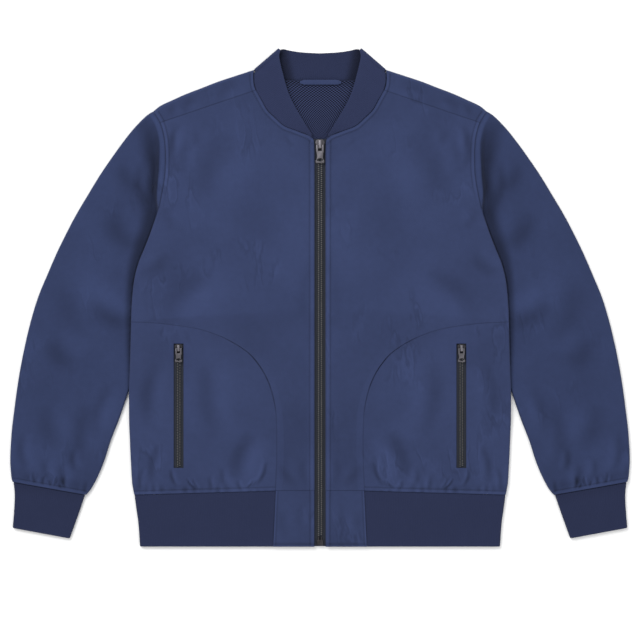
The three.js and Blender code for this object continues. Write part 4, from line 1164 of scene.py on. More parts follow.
@dataclass
class PocketPanels(SubAssembly):
    """Both curved pocket panels, open along the zip slot."""

    cells: int = 54
    gathers: Gathers = Gathers(2.1, (1.7, 13.0), (0.4, 7.3, 1), (2, 7), (8, 21, 7, 19.0))

    def __post_init__(self) -> None:
        """Lays out the fine grid in plan and the relief on it."""
        left, right = SLOT_X - SLOT_WIDTH / 2, SLOT_X + SLOT_WIDTH / 2
        top_track = table_track(POCKET_TOP)
        controls = []
        levels = [row[2] for row in POCKET_ROWS] + [POCKET_TOP_LEVEL]
        for index, (seam_x, seam_y, level) in enumerate((*POCKET_ROWS, (*POCKET_TOP[0], POCKET_TOP_LEVEL))):
            side = float(self.body.side(level))
            x = np.concatenate([
                seam_x + ladder(left - seam_x, EDGE_STEPS, WELT_STEPS, self.cells),
                left + np.array(SLOT_STEPS),
                right + ladder(side - right, WELT_STEPS, ROLL_STEPS, self.cells // 3),
            ])
            y = mix(seam_y, level, smooth(seam_x, POCKET_LEVEL_X, x))
            if index == 0:
                y = mix(seam_y, level, (x - seam_x) / (side - seam_x))
            if index == len(POCKET_ROWS):
                y = top_track(x)
            controls.append(np.stack([x, y], axis=-1))
        before_slot = len(EDGE_STEPS) + len(WELT_STEPS) + self.cells - 2
        self.slot_columns = slice(before_slot, before_slot + len(SLOT_STEPS) + 1)
        parts = (
            (HEM_Y, SLOT_BOTTOM, EDGE_STEPS, WELT_STEPS, 18),
            (SLOT_BOTTOM, SLOT_WELT_TOP, WELT_STEPS, WELT_STEPS, 60),
            (SLOT_WELT_TOP, POCKET_TOP_LEVEL, WELT_STEPS, EDGE_STEPS, 9),
        )
        places = [start + ladder(end - start, first, last, cells) for start, end, first, last, cells in parts]
        self.rows = np.concatenate([places[0], places[1][1:], places[2][1:]])
        self.plan = Track(levels, controls)(self.rows)
        self.plan[:, -1, 0] = self.body.side(self.plan[:, -1, 1])
        self.plan = let_out(self.plan, right=0)
        self.seam_line = np.concatenate([self.plan[:, 0], self.plan[-1, 1:]])
        self.hem_line = self.plan[0]
        top, foot = SLOT_WELT_TOP, SLOT_BOTTOM
        corners = ((left, foot), (left, top), (right, top), (right, foot), (left, foot))
        self.face = ClothFace(
            seams=(
                SeamEdge(self.seam_line, dark=0.35), SeamEdge(self.hem_line, 5.5, 0.5),
                SeamEdge(np.array(corners), 0, 0, 0.7, 1.2),
            ),
            creases=(
                (190, -256, 176, -272, 1.4, 1.3), (213, -242, 204, -269, 2.4, 0.9),
                (104, -270, 94, -258, 1.3, 1.3), (90, -268, 75, -231, 2.6, 1.1),
                (182, -256, 172, -272, 1.6, 0.8), (97, -268, 90, -258, 1.6, 0.8),
                (98, -189, 124, -258, 11, 0.8), (163, -88, 149, -202, 13, 0.55),
                (236, -90, 244, -190, 9, 0.5), (230, -206, 240, -264, 5, 0.7),
                (140, -240, 134, -272, 4, 0.6), (118, -258, 111, -275, 2.4, 0.8),
                (158, -252, 152, -274, 3, 0.6), (252, -240, 256, -272, 3, 0.6),
                (224, -44, 224.4, -56, 1.6, 0.5), (222, -38, 222.4, -52, 1.2, 0.4),
            ),
            phase=1.3,
        )

    def top(self, x: Array, y: Array) -> Array:
        """Height of the finished outer face, with small puckers over the hem seam."""
        return self.body.face(x, y, 1) + self.face.relief(x, y)[0] + self.pucker(x, y)

    @staticmethod
    def above_hem(x: Array, y: Array) -> Array:
        """Distance above the sloping hem seam."""
        return y - HEM_Y + 5.6 * (264 - x) / 200

    def pucker(self, x: Array, y: Array) -> Array:
        """Height of the small gathers over the hem seam."""
        return self.gathers.at(x, self.above_hem(x, y))

    def build(self) -> None:
        """Makes both panels and their topstitching."""
        x, y = self.plan[..., 0], self.plan[..., 1]
        relief, shade = self.face.relief(x, y)
        pucker = self.pucker(x, y)
        points = np.stack([x, y, self.body.face(x, y, 1) + relief + pucker], axis=-1)
        open_cells = np.zeros((len(self.rows) - 1, x.shape[1] - 1), bool)
        inside = (self.rows[:-1] >= SLOT_BOTTOM - 0.01) & (self.rows[1:] <= SLOT_WELT_TOP + 0.01)
        open_cells[inside, self.slot_columns] = True
        # Painted shade in a band above the hem seam; painted light and shade on the puckers, their crests
        # lighter.
        gathers_painted_shade = 0.55 * near(self.above_hem(x, y) - 9, 9) * (0.7 + 0.3 * np.sin(x / 9.7 + np.sin(x / 23)))
        grid = Grid(points, shade - 1.3 * pucker + gathers_painted_shade, open_cells, marker=(20, 10))
        row = beside(self.hem_line, 5.5, 1, 4)
        sewn = Needle(self.wardrobe).sew_both("pocket_topstitch", [row], self.top)
        self.both_sides(grid, "pocket_cloth", "pocket_panel", "navy_twill", Slot.SHELL, "back_panel", sewn)


@dataclass
class BackPanel(SubAssembly):
    """The back, which comes over both shoulders to a seam on the front."""

    row_cells: int = 105
    fold_cells: int = 10
    yoke_cells: int = 16
    neck_cells: int = 16  # from the middle to the neck point
    shoulder_cells: int = 26
    beyond_neck: int = 20  # the column from which the yoke's length is measured
    yoke_out: float = 0.3  # how far the yoke's edges are let out

    def _columns(self, half: Array) -> Array:
        """Half of a row's x places, from the middle outwards, for each half width."""
        neck = np.asarray(half)[..., None] * self.neck_share
        inner = neck * np.linspace(0, 1, self.neck_cells + 1)[:-1]
        outer = neck + ladder(half - neck[..., 0], EDGE_STEPS, ROLL_STEPS, self.shoulder_cells)
        return np.concatenate([inner, outer], axis=-1)

    def build(self) -> None:
        """Makes the panel as one sheet, from the hem over the shoulders to the front seam."""
        radius = BODY_HEIGHT / 2
        last = SHOULDER_TIP_Y - radius
        shoulder_x = float(self.body.side(last))
        self.neck_share = NECK_POINT_X / shoulder_x
        shoulder, neck_back = table_track(SHOULDER), table_track(NECK_BACK)
        top_x = self._columns(shoulder_x)
        tops = np.where(top_x <= NECK_POINT_X, neck_back(top_x), shoulder(top_x) - radius)
        levels = HEM_Y + ladder(last - HEM_Y, EDGE_STEPS, EDGE_STEPS, self.row_cells)
        side = self.body.side(levels)
        x = self._columns(side)
        arch = np.clip((levels - UNDERARM_Y) / (last - UNDERARM_Y), 0, 1) ** 1.6
        y = levels[:, None] + arch[:, None] * (tops - last)
        low = self.body.face(x, np.broadcast_to(levels[:, None], x.shape), -1)
        low = low + self._under_relief(x, y)
        rows = [np.stack([x, y, low], axis=-1)]
        share = (top_x - NECK_POINT_X) / (shoulder_x - NECK_POINT_X)
        angles = np.linspace(-math.pi / 2, math.pi / 2, self.fold_cells + 1)[1:, None]
        end_x = self.body.side(last + radius * np.cos(angles))
        fold_x = mix(NECK_POINT_X, end_x, share)
        middle_y = shoulder(mix(NECK_POINT_X, SHOULDER[-1][0], share)) - radius
        fold = fold_points((fold_x, middle_y), (0, 1), 0 * fold_x, 0 * fold_x + BODY_HEIGHT, angles)
        rows.append(fold)
        yoke = [fold[-1, :, :2]]
        (neck_top_x, neck_top_y), (tip_x, tip_y) = SHOULDER[0], SHOULDER[-1]
        along = np.clip(share, 0, 1)
        bow = shoulder(mix(neck_top_x, tip_x, along)) - mix(neck_top_y, tip_y, along)
        for neck_x, neck_y, arm_x, arm_y in YOKE_ROWS:
            row_x, row_y = mix(neck_x, arm_x, share), mix(neck_y, arm_y, share)
            drop = (neck_top_y - neck_y) / (neck_top_y - YOKE_ROWS[-1][1])
            yoke.append(np.stack([row_x, row_y + bow * (1 - drop)], axis=-1))
        yoke = np.array(yoke)
        run = run_along(yoke[:, self.beyond_neck:], 0)
        plan = Track(run, yoke)(ladder(run[-1], YOKE_STEPS, EDGE_STEPS, self.yoke_cells)[1:])
        plan = let_out(plan, 0, self.yoke_out, 0, self.yoke_out)
        arm_line = plan[:, -1]
        face = ClothFace(
            seams=(
                SeamEdge(plan[-1, self.neck_cells:], dark=0.75), SeamEdge(arm_line, 6.4, 0.4, dark=1.0),
                SeamEdge(plan[:, self.neck_cells], 5.0, 0.45),
            ),
            creases=(
                (176, 286, 196, 266, 6, 0.4), (112, 308, 150, 288, 9, 0.35),
                (206, 276, 214, 258, 5, 0.4),
            ),
            phase=2.1,
        )
        relief, shade = face.relief(plan[..., 0], plan[..., 1])
        front = self.body.face(plan[..., 0], plan[..., 1], 1) + relief
        rows.append(np.concatenate([plan, front[..., None]], axis=-1))
        half = np.concatenate(rows)
        flat_rows = len(levels)
        dark = np.zeros(half.shape[:2])
        # The yoke's dark seams and painted light and shade, and the whole yoke painted a little darker.
        dark[-len(shade):] = shade + 0.22
        points = np.concatenate([mirror(half[:, :0:-1]), half], axis=1)
        dark = np.concatenate([dark[:, :0:-1], dark], axis=1)
        open_cells = np.zeros((len(points) - 1, points.shape[1] - 1), bool)
        middle = half.shape[1] - 1
        open_cells[flat_rows - 1:, middle - self.neck_cells:middle + self.neck_cells] = True
        grid = Grid(points, dark, open_cells, marker=(60, middle), up=False)

        def top(px: Array, py: Array) -> Array:
            """Height of the yoke's outer face."""
            return self.body.face(px, py, 1) + face.relief(np.abs(px), py)[0]

        sewn = [beside(arm_line[::-1], 5.5, 1, 3)]
        stitches = Needle(self.wardrobe).sew("yoke_topstitch", sewn + [mirror(row) for row in sewn], top)
        self.sheet(grid, "back_cloth", "back_panel", "navy_twill", Slot.SHELL, "floor", extra=[stitches])

    @staticmethod
    def _under_relief(x: Array, y: Array) -> Array:
        """Creases pressed up into the underside, none of them below the surface it rests on."""
        creases = (
            (-150, -200, -118, -90, 12, 0.8), (90, -230, 140, -150, 10, 0.7),
            (-60, 40, 20, 130, 16, 0.8), (120, 60, 165, 150, 11, 0.6),
            (-190, 190, -130, 130, 9, 0.6), (40, -120, 60, -10, 14, 0.5),
        )
        return sum(np.maximum(0, -Crease(*row).at(x, y)) for row in creases)


@dataclass
class Sleeves(SubAssembly):
    """Both sleeves: a strip beside the armhole, a roll, then a flattened tube down to the cuff seam."""

    cells: int = 56
    fold_cells: int = 7
    row_cells: int = 138
    # Two more rows that tuck under the body, as steps from the first row above and below
    tuck_top: tuple = ((-1.5, 0, -2.2), (-0.1, 0, -0.7))
    tuck_under: tuple = ((-1.5, 0, 0.6), (-0.1, 0, 0.2))
    gathers: Gathers = Gathers(2.3, (1.9, 11.0), (0.45, 6.1, 0), (1.5, 6), (9, 26, 9, 15.0))
    strip: Track = table_track(((110, 0), (128, 2), (139, 5.5), (160, 8), (182, 8.9), (224, 7.5), (265, 8)))
    hollow_reach: Track = table_track(
        ((-150, 3), (-60, 10), (18, 14), (82, 23), (140, 26), (182, 27), (224, 38), (262, 30)))
    # Depth of the painted shadow beside the body.
    hollow_painted_shadow_depth: Track = table_track(
        ((-165, 0), (-60, 1.3), (18, 1.7), (82, 1.9), (182, 2.0), (215, 1.6), (240, 1.0), (262, 0.3)))

    def _painted_hollow_shadow(self, x: Array, y: Array) -> Array:
        """Painted shadow of the body in the hollow beside it, darkest where the sleeve passes under its edge,
        with a painted highlight on the strip by the armhole.
        """
        heights = np.linspace(-175, 265, 120)
        edge = np.stack([self.body.side(heights), heights], axis=1)
        away = distance_to(edge, x, y) - self.strip(y)
        reach = self.hollow_reach(y)
        beyond = smooth(-0.9, 1.1, away) * (1 - smooth(0, 1, (away - 0.3 * reach) / (0.7 * reach)))
        # Painted highlight on the strip beside the armhole.
        painted_light = 0.45 * near(away + 0.45 * self.strip(y), 4.0) * smooth(130, 150, y)
        # Painted shadow right at the body's edge.
        edge = 1.1 * near(away, 3.2) * smooth(-150, -80, y) * (1 - smooth(90, 130, y))
        return self.hollow_painted_shadow_depth(y) * beyond + edge - painted_light

    def _rows(self) -> Array:
        """Control rows at fine places across: x, y, low, high, and the fold's direction x and y."""
        edge = np.array([0, 0.004, 0.012])
        share = np.concatenate([edge, np.linspace(0.02, 0.98, self.cells - 3), 1 - edge[::-1]])
        underarm = self.body.height(self.body.side(UNDERARM_Y), UNDERARM_Y)
        start_y = UNDERARM_Y + 0.6 + float(underarm) / 2
        y = mix(start_y, SHOULDER_TIP_Y - BODY_HEIGHT / 2, share)
        x = self.body.side(y)
        at_end, at_tip = 1 - smooth(0, 0.25, share), smooth(0.75, 1, share)
        lift = self.body.lift(x - 1, y)
        level = lift + self.body.height(x - 1, y)
        crease = mix(5.0, SLEEVE_HEIGHT, smooth(215, 262, y))
        late = smooth(0.4, 0.6, share)
        rows = []
        for reach, end_x, end_y, tip_x, tip_y, fall, held in ROLL_ROWS:
            row_x = x + at_end * end_x + at_tip * tip_x + (1 - at_end - at_tip) * reach
            row_y = y + at_end * end_y + at_tip * tip_y
            fold = (mix(0.22, 0.55, late), mix(-1, 0.83, late))
            rows.append(np.stack([row_x, row_y, lift * held, mix(level, crease, fall), *fold], axis=-1))
        rows[0][:, 4] = np.where(share > 0.9, 0.71, rows[0][:, 4])
        rows[0][:, 5] = np.where(share > 0.9, 1.0, rows[0][:, 5])
        for in_x, in_y, out_x, out_y, bow, in_top in SLEEVE_ROWS:
            length = math.hypot(out_x - in_x, out_y - in_y)
            way = ((out_x - in_x) / length, (out_y - in_y) / length)
            along = mix(in_top / 2, length - SLEEVE_HEIGHT / 2, share)
            aside = bow * np.sin(math.pi * share)
            high = mix(in_top, SLEEVE_HEIGHT, smooth(0.22, 0.55, share))
            turn = np.where(share < 0.5, -1.0, 1.0)
            rows.append(np.stack([
                in_x + way[0] * along - way[1] * aside, in_y + way[1] * along + way[0] * aside,
                0 * share, high, turn * way[0], turn * way[1],
            ], axis=-1))
        return np.array(rows)

    def build(self) -> None:
        """Makes both sleeves."""
        control = self._rows()
        run = run_along(control[..., :2], 0)
        rows = Track(run, control)(ladder(run[-1], STRIP_STEPS, GATHER_STEPS, self.row_cells))
        x, y, low, high = np.moveaxis(rows[..., :4], -1, 0)
        arm_line, cuff_line = rows[0, :, :2], rows[-1, :, :2]
        face = ClothFace(
            seams=(SeamEdge(arm_line, dark=1.0), SeamEdge(cuff_line, 6.0, 0.5, 0.6, dark=0.8)),
            creases=(
                (377.5, -268, 373.5, -252, 1.4, 1.5), (383, -268, 385.5, -258, 1.3, 1.0),
                (406, -246, 406, -262, 1.3, 1.0), (413, -250, 411, -262, 1.2, 0.8),
                (364, -252, 362, -272, 2.2, 0.8), (352, -214, 349, -246, 4.5, 0.8),
                (371, -262, 366, -272, 1.2, 0.9), (392, -252, 393, -266, 1.8, 0.7),
                (330, -6, 272, -42, 13, 0.9), (388, -60, 352, -100, 15, 0.6),
                (300, 120, 268, 66, 14, 0.7), (256, 196, 250, 120, 7, 0.8),
                (395, -150, 372, -218, 14, 0.6), (330, -150, 344, -236, 11, 0.6),
                (366, 22, 330, -70, 18, 0.5), (285, 190, 262, 150, 10, 0.5),
                (425, -190, 418, -250, 6, 0.6), (300, -120, 322, -200, 8, 0.5),
                (390, -226, 388, -258, 5, 0.6), (368, -236, 364, -266, 5, 0.6),
            ),
            wave=0.5,
            phase=0.6,
        )
        relief, shade = face.relief(x, y)
        away = distance_to(cuff_line, x, y)
        gather = self.gathers.at(x * 0.985 + y * 0.17, away)
        # Painted shade in a band above the cuff seam.
        gathers_painted_shade = 0.5 * near(away - 11, 13)
        # Painted shadow beside the body, and painted light and shade on the gathers, their crests lighter.
        shade = shade + self._painted_hollow_shadow(x, y) - 1.3 * gather + gathers_painted_shade
        top = np.stack([x, y, high + relief + gather], axis=-1)
        under = np.stack([x, y, low + 0.5 * np.maximum(0, -relief) * (low < 0.01)], axis=-1)
        top = np.concatenate([top[:1] + np.array(self.tuck_top)[:, None], top])
        under = np.concatenate([under[:1] + np.array(self.tuck_under)[:, None], under])
        # Painted shade on the two rows tucked under the body.
        shade = np.concatenate([shade[:1] + 0.5, shade[:1] + 0.5, shade])
        rows = np.concatenate([rows[:1], rows[:1], rows])
        rows[:2, :, 0] = top[:2, :, 0]
        turns = np.linspace(math.pi / 2, -math.pi / 2, self.fold_cells + 1)[1:-1]
        outer = self._fold(rows[:, -1], turns, top[:, -1, 2])
        inner = self._fold(rows[:, 0], turns[::-1], top[:, 0, 2])
        points = np.concatenate([top, outer, under[:, ::-1], inner, top[:, :1]], axis=1)
        dim = np.zeros(points.shape[:2])
        dim[:, :x.shape[1]] = shade
        dim[:, -1] = shade[:, 0]
        grid = Grid(points, dim, closed=True, marker=(70, 30))
        self.both_sides(grid, "sleeve_cloth", "sleeve", "navy_twill_sleeve_painted_shade", Slot.SHELL, "floor")

    @staticmethod
    def _fold(end: Array, turns: Array, high: Array) -> Array:
        """Points of the rolled fold at one end of the rows."""
        x, y, low, _, way_x, way_y = (end[:, i, None] for i in range(6))
        return fold_points((x, y), (way_x, way_y), low, high[:, None], turns)


@dataclass
class Ribs(SubAssembly):
    """The rib-knit pieces: cuffs, hem and collar. Each rib is a real ridge."""

    pitch: float = 2.4
    depth: float = 0.34
    per_rib: int = 4
    rim_turn: Pair = (1.1, 1.3)  # over what width the seam and the free edge turn in
    rim_depth: float = 0.8
    turns: Array = field(default_factory=lambda: np.linspace(math.pi / 2, -math.pi / 2, 9))

    def _ribbed_grid(self, control: Array, cells: int, closed: bool = False) -> Grid:
        """Refines a control grid, rounds its rims, sinks the ribs and paints shade into them.

        Args:
            control: Coarse grid, rows from the seam to the free edge.
            cells: Number of even cells between the rims.
            closed: Whether the last column lies on the first.

        Returns:
            The ribbed grid, with painted shade in its grooves and by its seam, and painted light near its
            free edge.
        """
        depth, total = run_along(control, 0), run_along(control, 1)
        rows = ladder(depth[-1], RIM_STEPS, RIM_STEPS, cells)
        ribs = round(total[-1] / self.pitch)
        columns = np.linspace(0, total[-1], ribs * self.per_rib + 1)
        points = Track(total, control.transpose(1, 0, 2))(columns).transpose(1, 0, 2)
        points = Track(depth, points)(rows)
        marker = (len(rows) // 2, 3 * self.per_rib)
        steps = np.linalg.norm(np.diff(points, axis=0), axis=-1)
        down = np.concatenate([np.zeros((1, steps.shape[1])), np.cumsum(steps, axis=0)])
        seam, free = self.rim_turn
        inset = np.maximum(np.clip(1 - down / seam, 0, 1), np.clip(1 - (down[-1] - down) / free, 0, 1))
        turned = self.rim_depth * (1 - np.sqrt(1 - inset ** 2))
        points = points - outward(points, marker) * turned[..., None]
        groove = 0.5 - 0.5 * np.cos(2 * math.pi * columns / (total[-1] / ribs))
        groove = np.broadcast_to(groove, points.shape[:2])
        points = points - outward(points, marker) * (self.depth * groove)[..., None]
        # Painted shade by the seam, painted light near the free edge.
        rims = 0.5 * near(rows, 2.0) - 0.25 * near(rows[-1] - rows - 2, 2.0)
        if closed:
            points[:, -1] = points[:, 0]
        # Painted shade in the rib grooves.
        return Grid(points, 0.5 * groove + rims[:, None], closed=closed, marker=marker)

    def _tube(self, rows: Sequence[Sequence[float]]) -> Array:
        """Control grid of a flattened tube from rows of inner and outer ends and height."""
        control = []
        for in_x, in_y, out_x, out_y, height in rows:
            length = math.hypot(out_x - in_x, out_y - in_y)
            way = np.array([(out_x - in_x) / length, (out_y - in_y) / length])
            start = np.array([in_x, in_y]) + way * height / 2
            end = np.array([out_x, out_y]) - way * height / 2
            flat = mix(start, end, np.linspace(0, 1, 9)[:, None])
            top = np.concatenate([flat, np.full((9, 1), height)], axis=1)
            under = np.concatenate([flat[::-1], np.zeros((9, 1))], axis=1)
            outer = fold_points(end, way, 0, height, self.turns)[1:-1]
            inner = fold_points(start, -way, 0, height, -self.turns)[1:-1]
            control.append(np.concatenate([top, outer, under, inner, top[:1]]))
        return np.array(control)

    def build(self) -> None:
        """Makes the cuffs, the hem and the collar."""
        self._cuffs()
        self._hem()
        self._collar()

    def _cuffs(self) -> None:
        """Both cuffs, drawn in slightly at the seam."""
        control = self._tube(CUFF_ROWS)
        grid = self._ribbed_grid(control, 8, True)
        rows = ladder(run_along(control, 0)[-1], RIM_STEPS, RIM_STEPS, 8)
        # Painted shade: the cuff a little darker all over, most by its seam.
        grid.shade = grid.shade + 0.25 + 0.5 * near(rows, 16)[:, None]
        self.both_sides(grid, "cuff_rib", "cuff", "navy_rib", Slot.RIB, "floor")

    def _hem(self) -> None:
        """The hem rib, from one front tab round the back to the other."""
        control = []
        for side_x, side_y, front_x, front_y, height in HEM_ROWS:
            fold_x = side_x - height / 2
            share = np.linspace(0, 1, 9)[:, None]
            front = mix(np.array([front_x, front_y, height]), np.array([fold_x, side_y, height]), share)
            back = mix(np.array([fold_x, side_y, 0]), np.array([0, side_y, 0]), share)
            fold = fold_points((fold_x, side_y), (1, 0), 0, height, self.turns)[1:-1]
            half = np.concatenate([front, fold, back])
            control.append(np.concatenate([half, mirror(half[-2::-1])]))
        grid = self._ribbed_grid(np.array(control), 6)
        self.sheet(grid, "hem_rib_knit", "hem_rib", "navy_rib", Slot.RIB, "floor")

    def _collar(self) -> None:
        """The collar band, its front flaps above and its back below."""
        table = np.array([*COLLAR_FRONT, COLLAR_FOLD, *COLLAR_BACK])
        seam, free, folded = table[:, :2], table[:, 2:], len(COLLAR_FRONT)
        rise = (free - seam)[folded]
        way = np.array([rise[1], -rise[0]]) / np.linalg.norm(rise)
        control = []
        for share in np.linspace(0, 1, 7):
            height = mix(*COLLAR_HEIGHT, share)
            plan = mix(seam, free, share)
            flap = np.insert(plan[:folded], 2, height, axis=1)
            fold = fold_points(plan[folded] - way * height / 2, way, 0, height, self.turns)
            back = np.insert(plan[folded + 1:], 2, 0, axis=1)
            half = np.concatenate([flap, fold, back])
            control.append(np.concatenate([half, mirror(half[-2::-1])]))
        grid = self._ribbed_grid(np.array(control, float), 7)
        start = grid.points[0]
        under = start[:, :2] - grid.points[-1, :, :2]
        under = under / np.linalg.norm(under, axis=1, keepdims=True)
        tuck = np.concatenate([start[:, :2] + 1.3 * under, start[:, 2:] * 0.7], axis=1)
        grid.points = np.concatenate([tuck[None], grid.points])
        # Painted shade on the row tucked under the seam.
        grid.shade = np.concatenate([grid.shade[:1] + 1, grid.shade])
        x, y, z = np.moveaxis(grid.points, -1, 0)
        fold = table[folded].reshape(2, 2) - [4.0, 0]
        # Painted light on the raised front flaps, most by the fold; painted shadow of the flaps on the back
        # collar.
        painted_light = 0.75 + 0.35 * near(distance_to(fold, np.abs(x), y), 18)
        flap_painted_shadow = 2.6 * (1 - smooth(5.5, 19, distance_to(free[:folded + 1], np.abs(x), y)))
        grid.shade = grid.shade + np.where(z > 3.2, -painted_light, flap_painted_shadow)
        self.sheet(grid, "collar_rib_knit", "collar_rib", "navy_rib", Slot.RIB, "neck_lining", 0.9)


@dataclass
class HemTabs(SubAssembly):
    """Cloth tabs at the foot of the zip, between the zip and the hem rib."""

    zip_band: float = 6.4
    inner_x: float = 7.9
    outer_x: Pair = (63.0, 66.7)  # at the top and at the foot
    top_y: float = -273.4
    length: float = 79.6
    level: float = 7.0

    def build(self) -> None:
        """Makes both tabs and their row of stitches."""
        rows = ladder(self.length, EDGE_STEPS, RIM_STEPS, 16)
        outer = mix(*self.outer_x, rows / rows[-1])
        x = self.inner_x + ladder(outer - self.inner_x, EDGE_STEPS, EDGE_STEPS, 14)
        y = np.broadcast_to((self.top_y - rows)[:, None], x.shape)
        plan = np.stack([x, y], axis=-1)
        zip_line = plan[:, 0]
        face = ClothFace(
            seams=(
                SeamEdge(zip_line, self.zip_band, 0.5), SeamEdge(plan[:, -1], 3.6, 0.3, 0.6),
                SeamEdge(plan[0], dark=0.1), SeamEdge(plan[-1], 3.0, 0.2, 0.9, 1.3),
            ),
            creases=((30, -290, 26, -330, 5, 0.25), (52, -300, 50, -345, 6, 0.25)),
            wave=0.2,
        )
        relief, shade = face.relief(x, y)
        # Dark seams and painted light and shade, and the whole tab a little darker.
        grid = Grid(np.stack([x, y, self.level + relief], axis=-1), shade + 0.25, marker=(15, 12))

        def height(px: Array, py: Array) -> Array:
            """Height of the tab's outer face."""
            return self.level + face.relief(px, py)[0]

        row = beside(zip_line, self.zip_band, 1, 1.5)
        sewn = Needle(self.wardrobe).sew_both("tab_topstitch", [row], height)
        self.both_sides(grid, "hem_tab_cloth", "hem_tab", "navy_twill", Slot.SHELL, "hem_rib", sewn)


@dataclass
class NeckInside(SubAssembly):
    """What the neck opening shows: the mesh lining and the hanger loop."""

    lining_y: Pair = (222.0, 309.7)
    lining_level: float = 3.3
    loop_x: Pair = (-28.5, 30.0)
    loop_y: float = 306.4
    loop_level: float = 3.62
    loop_end: float = 7.0  # length over which the loop is sewn flat
    loop_half_width: float = 3.4
    loop_height: float = 2.3

    def build(self) -> None:
        """Makes the lining and the loop."""
        width = table_track(LINING_ROWS)
        rows = np.linspace(*self.lining_y, 60)
        share = np.linspace(-1, 1, 61)
        x = width(rows)[:, None] * share
        y = np.broadcast_to(rows[:, None], x.shape)
        wave = 0.25 * np.sin(x / 11 + y / 17) * np.sin(y / 13 - x / 29) - 0.3
        wave = mix(wave, 0, smooth(303, 308, y))
        # Painted shade along the lining's edges, under the collar.
        edge = near(np.abs(share) - 1, 0.3)[None] + near(y - 309, 12)
        grid = Grid(np.stack([x, y, self.lining_level + wave], axis=-1), 0.9 * edge, marker=(30, 30))
        self.sheet(grid, "lining_mesh", "neck_lining", "navy_mesh", Slot.LINING, "back_panel", 0.6)
        self._loop()

    def _loop(self) -> None:
        """The hanger loop, a folded strip with its ends sewn flat."""
        start, stop = self.loop_x
        end = self.loop_end * np.linspace(0, 1, 9)
        x = np.concatenate([start + end, np.linspace(-20, 21.5, 24), stop - end[::-1]])
        full = smooth(-0.2, 1, np.clip(np.minimum(x - start, stop - x) / self.loop_end, 0, 1))
        turns = np.linspace(0, 2 * math.pi, 25)
        half = self.loop_half_width * mix(0.5, 1, full)
        high = self.loop_height * mix(0.45, 1, full)
        across = half[:, None] * np.cos(turns) * (1 + 0.12 * np.abs(np.sin(2 * turns)))
        above = high[:, None] / 2 * (1 + np.sign(np.sin(turns)) * np.abs(np.sin(turns)) ** 0.7)
        points = np.stack([x[:, None] + 0 * across, self.loop_y + across, self.loop_level + above], axis=-1)
        # Painted shade on the loop's two sides.
        shade = np.broadcast_to(0.5 * near(turns % math.pi, 0.5), points.shape[:2])
        grid = Grid(points, shade, closed=True, marker=(16, 5))
        self.sheet(grid, "hanger_loop_strip", "hanger_loop", "navy_twill", Slot.SHELL, "neck_lining", 0.5)


@dataclass(frozen=True)
class SliderSize:
    """Sizes of a zip slider and its pull tab, in millimetres."""

    top: float
    length: float
    width: float
    neck: float
    body: float
    bridge_width: float
    bridge_from: float
    bridge_to: float
    pivot: float
    eye_length: float
    eye_width: float
    tab_length: float
    tab_head: float
    tab_waist: float
    tab_end: float
    hole_width: float
    hole_height: float
    hole_from_end: float


MAIN_SLIDER = SliderSize(
    top=225, length=14, width=13.3, neck=8.6, body=3.4,
    bridge_width=4.2, bridge_from=1.4, bridge_to=12.8,
    pivot=8.2, eye_length=8.3, eye_width=5.4,
    tab_length=25.8, tab_head=11.0, tab_waist=8.6, tab_end=12.2,
    hole_width=8.0, hole_height=4.4, hole_from_end=4.6,
)
POCKET_SLIDER = SliderSize(
    top=-65.6, length=11, width=11.2, neck=7.2, body=2.8,
    bridge_width=3.4, bridge_from=1.1, bridge_to=9.9,
    pivot=6.2, eye_length=6.6, eye_width=4.6,
    tab_length=19.2, tab_head=9.0, tab_waist=7.1, tab_end=10.2,
    hole_width=6.6, hole_height=3.5, hole_from_end=3.7,
)


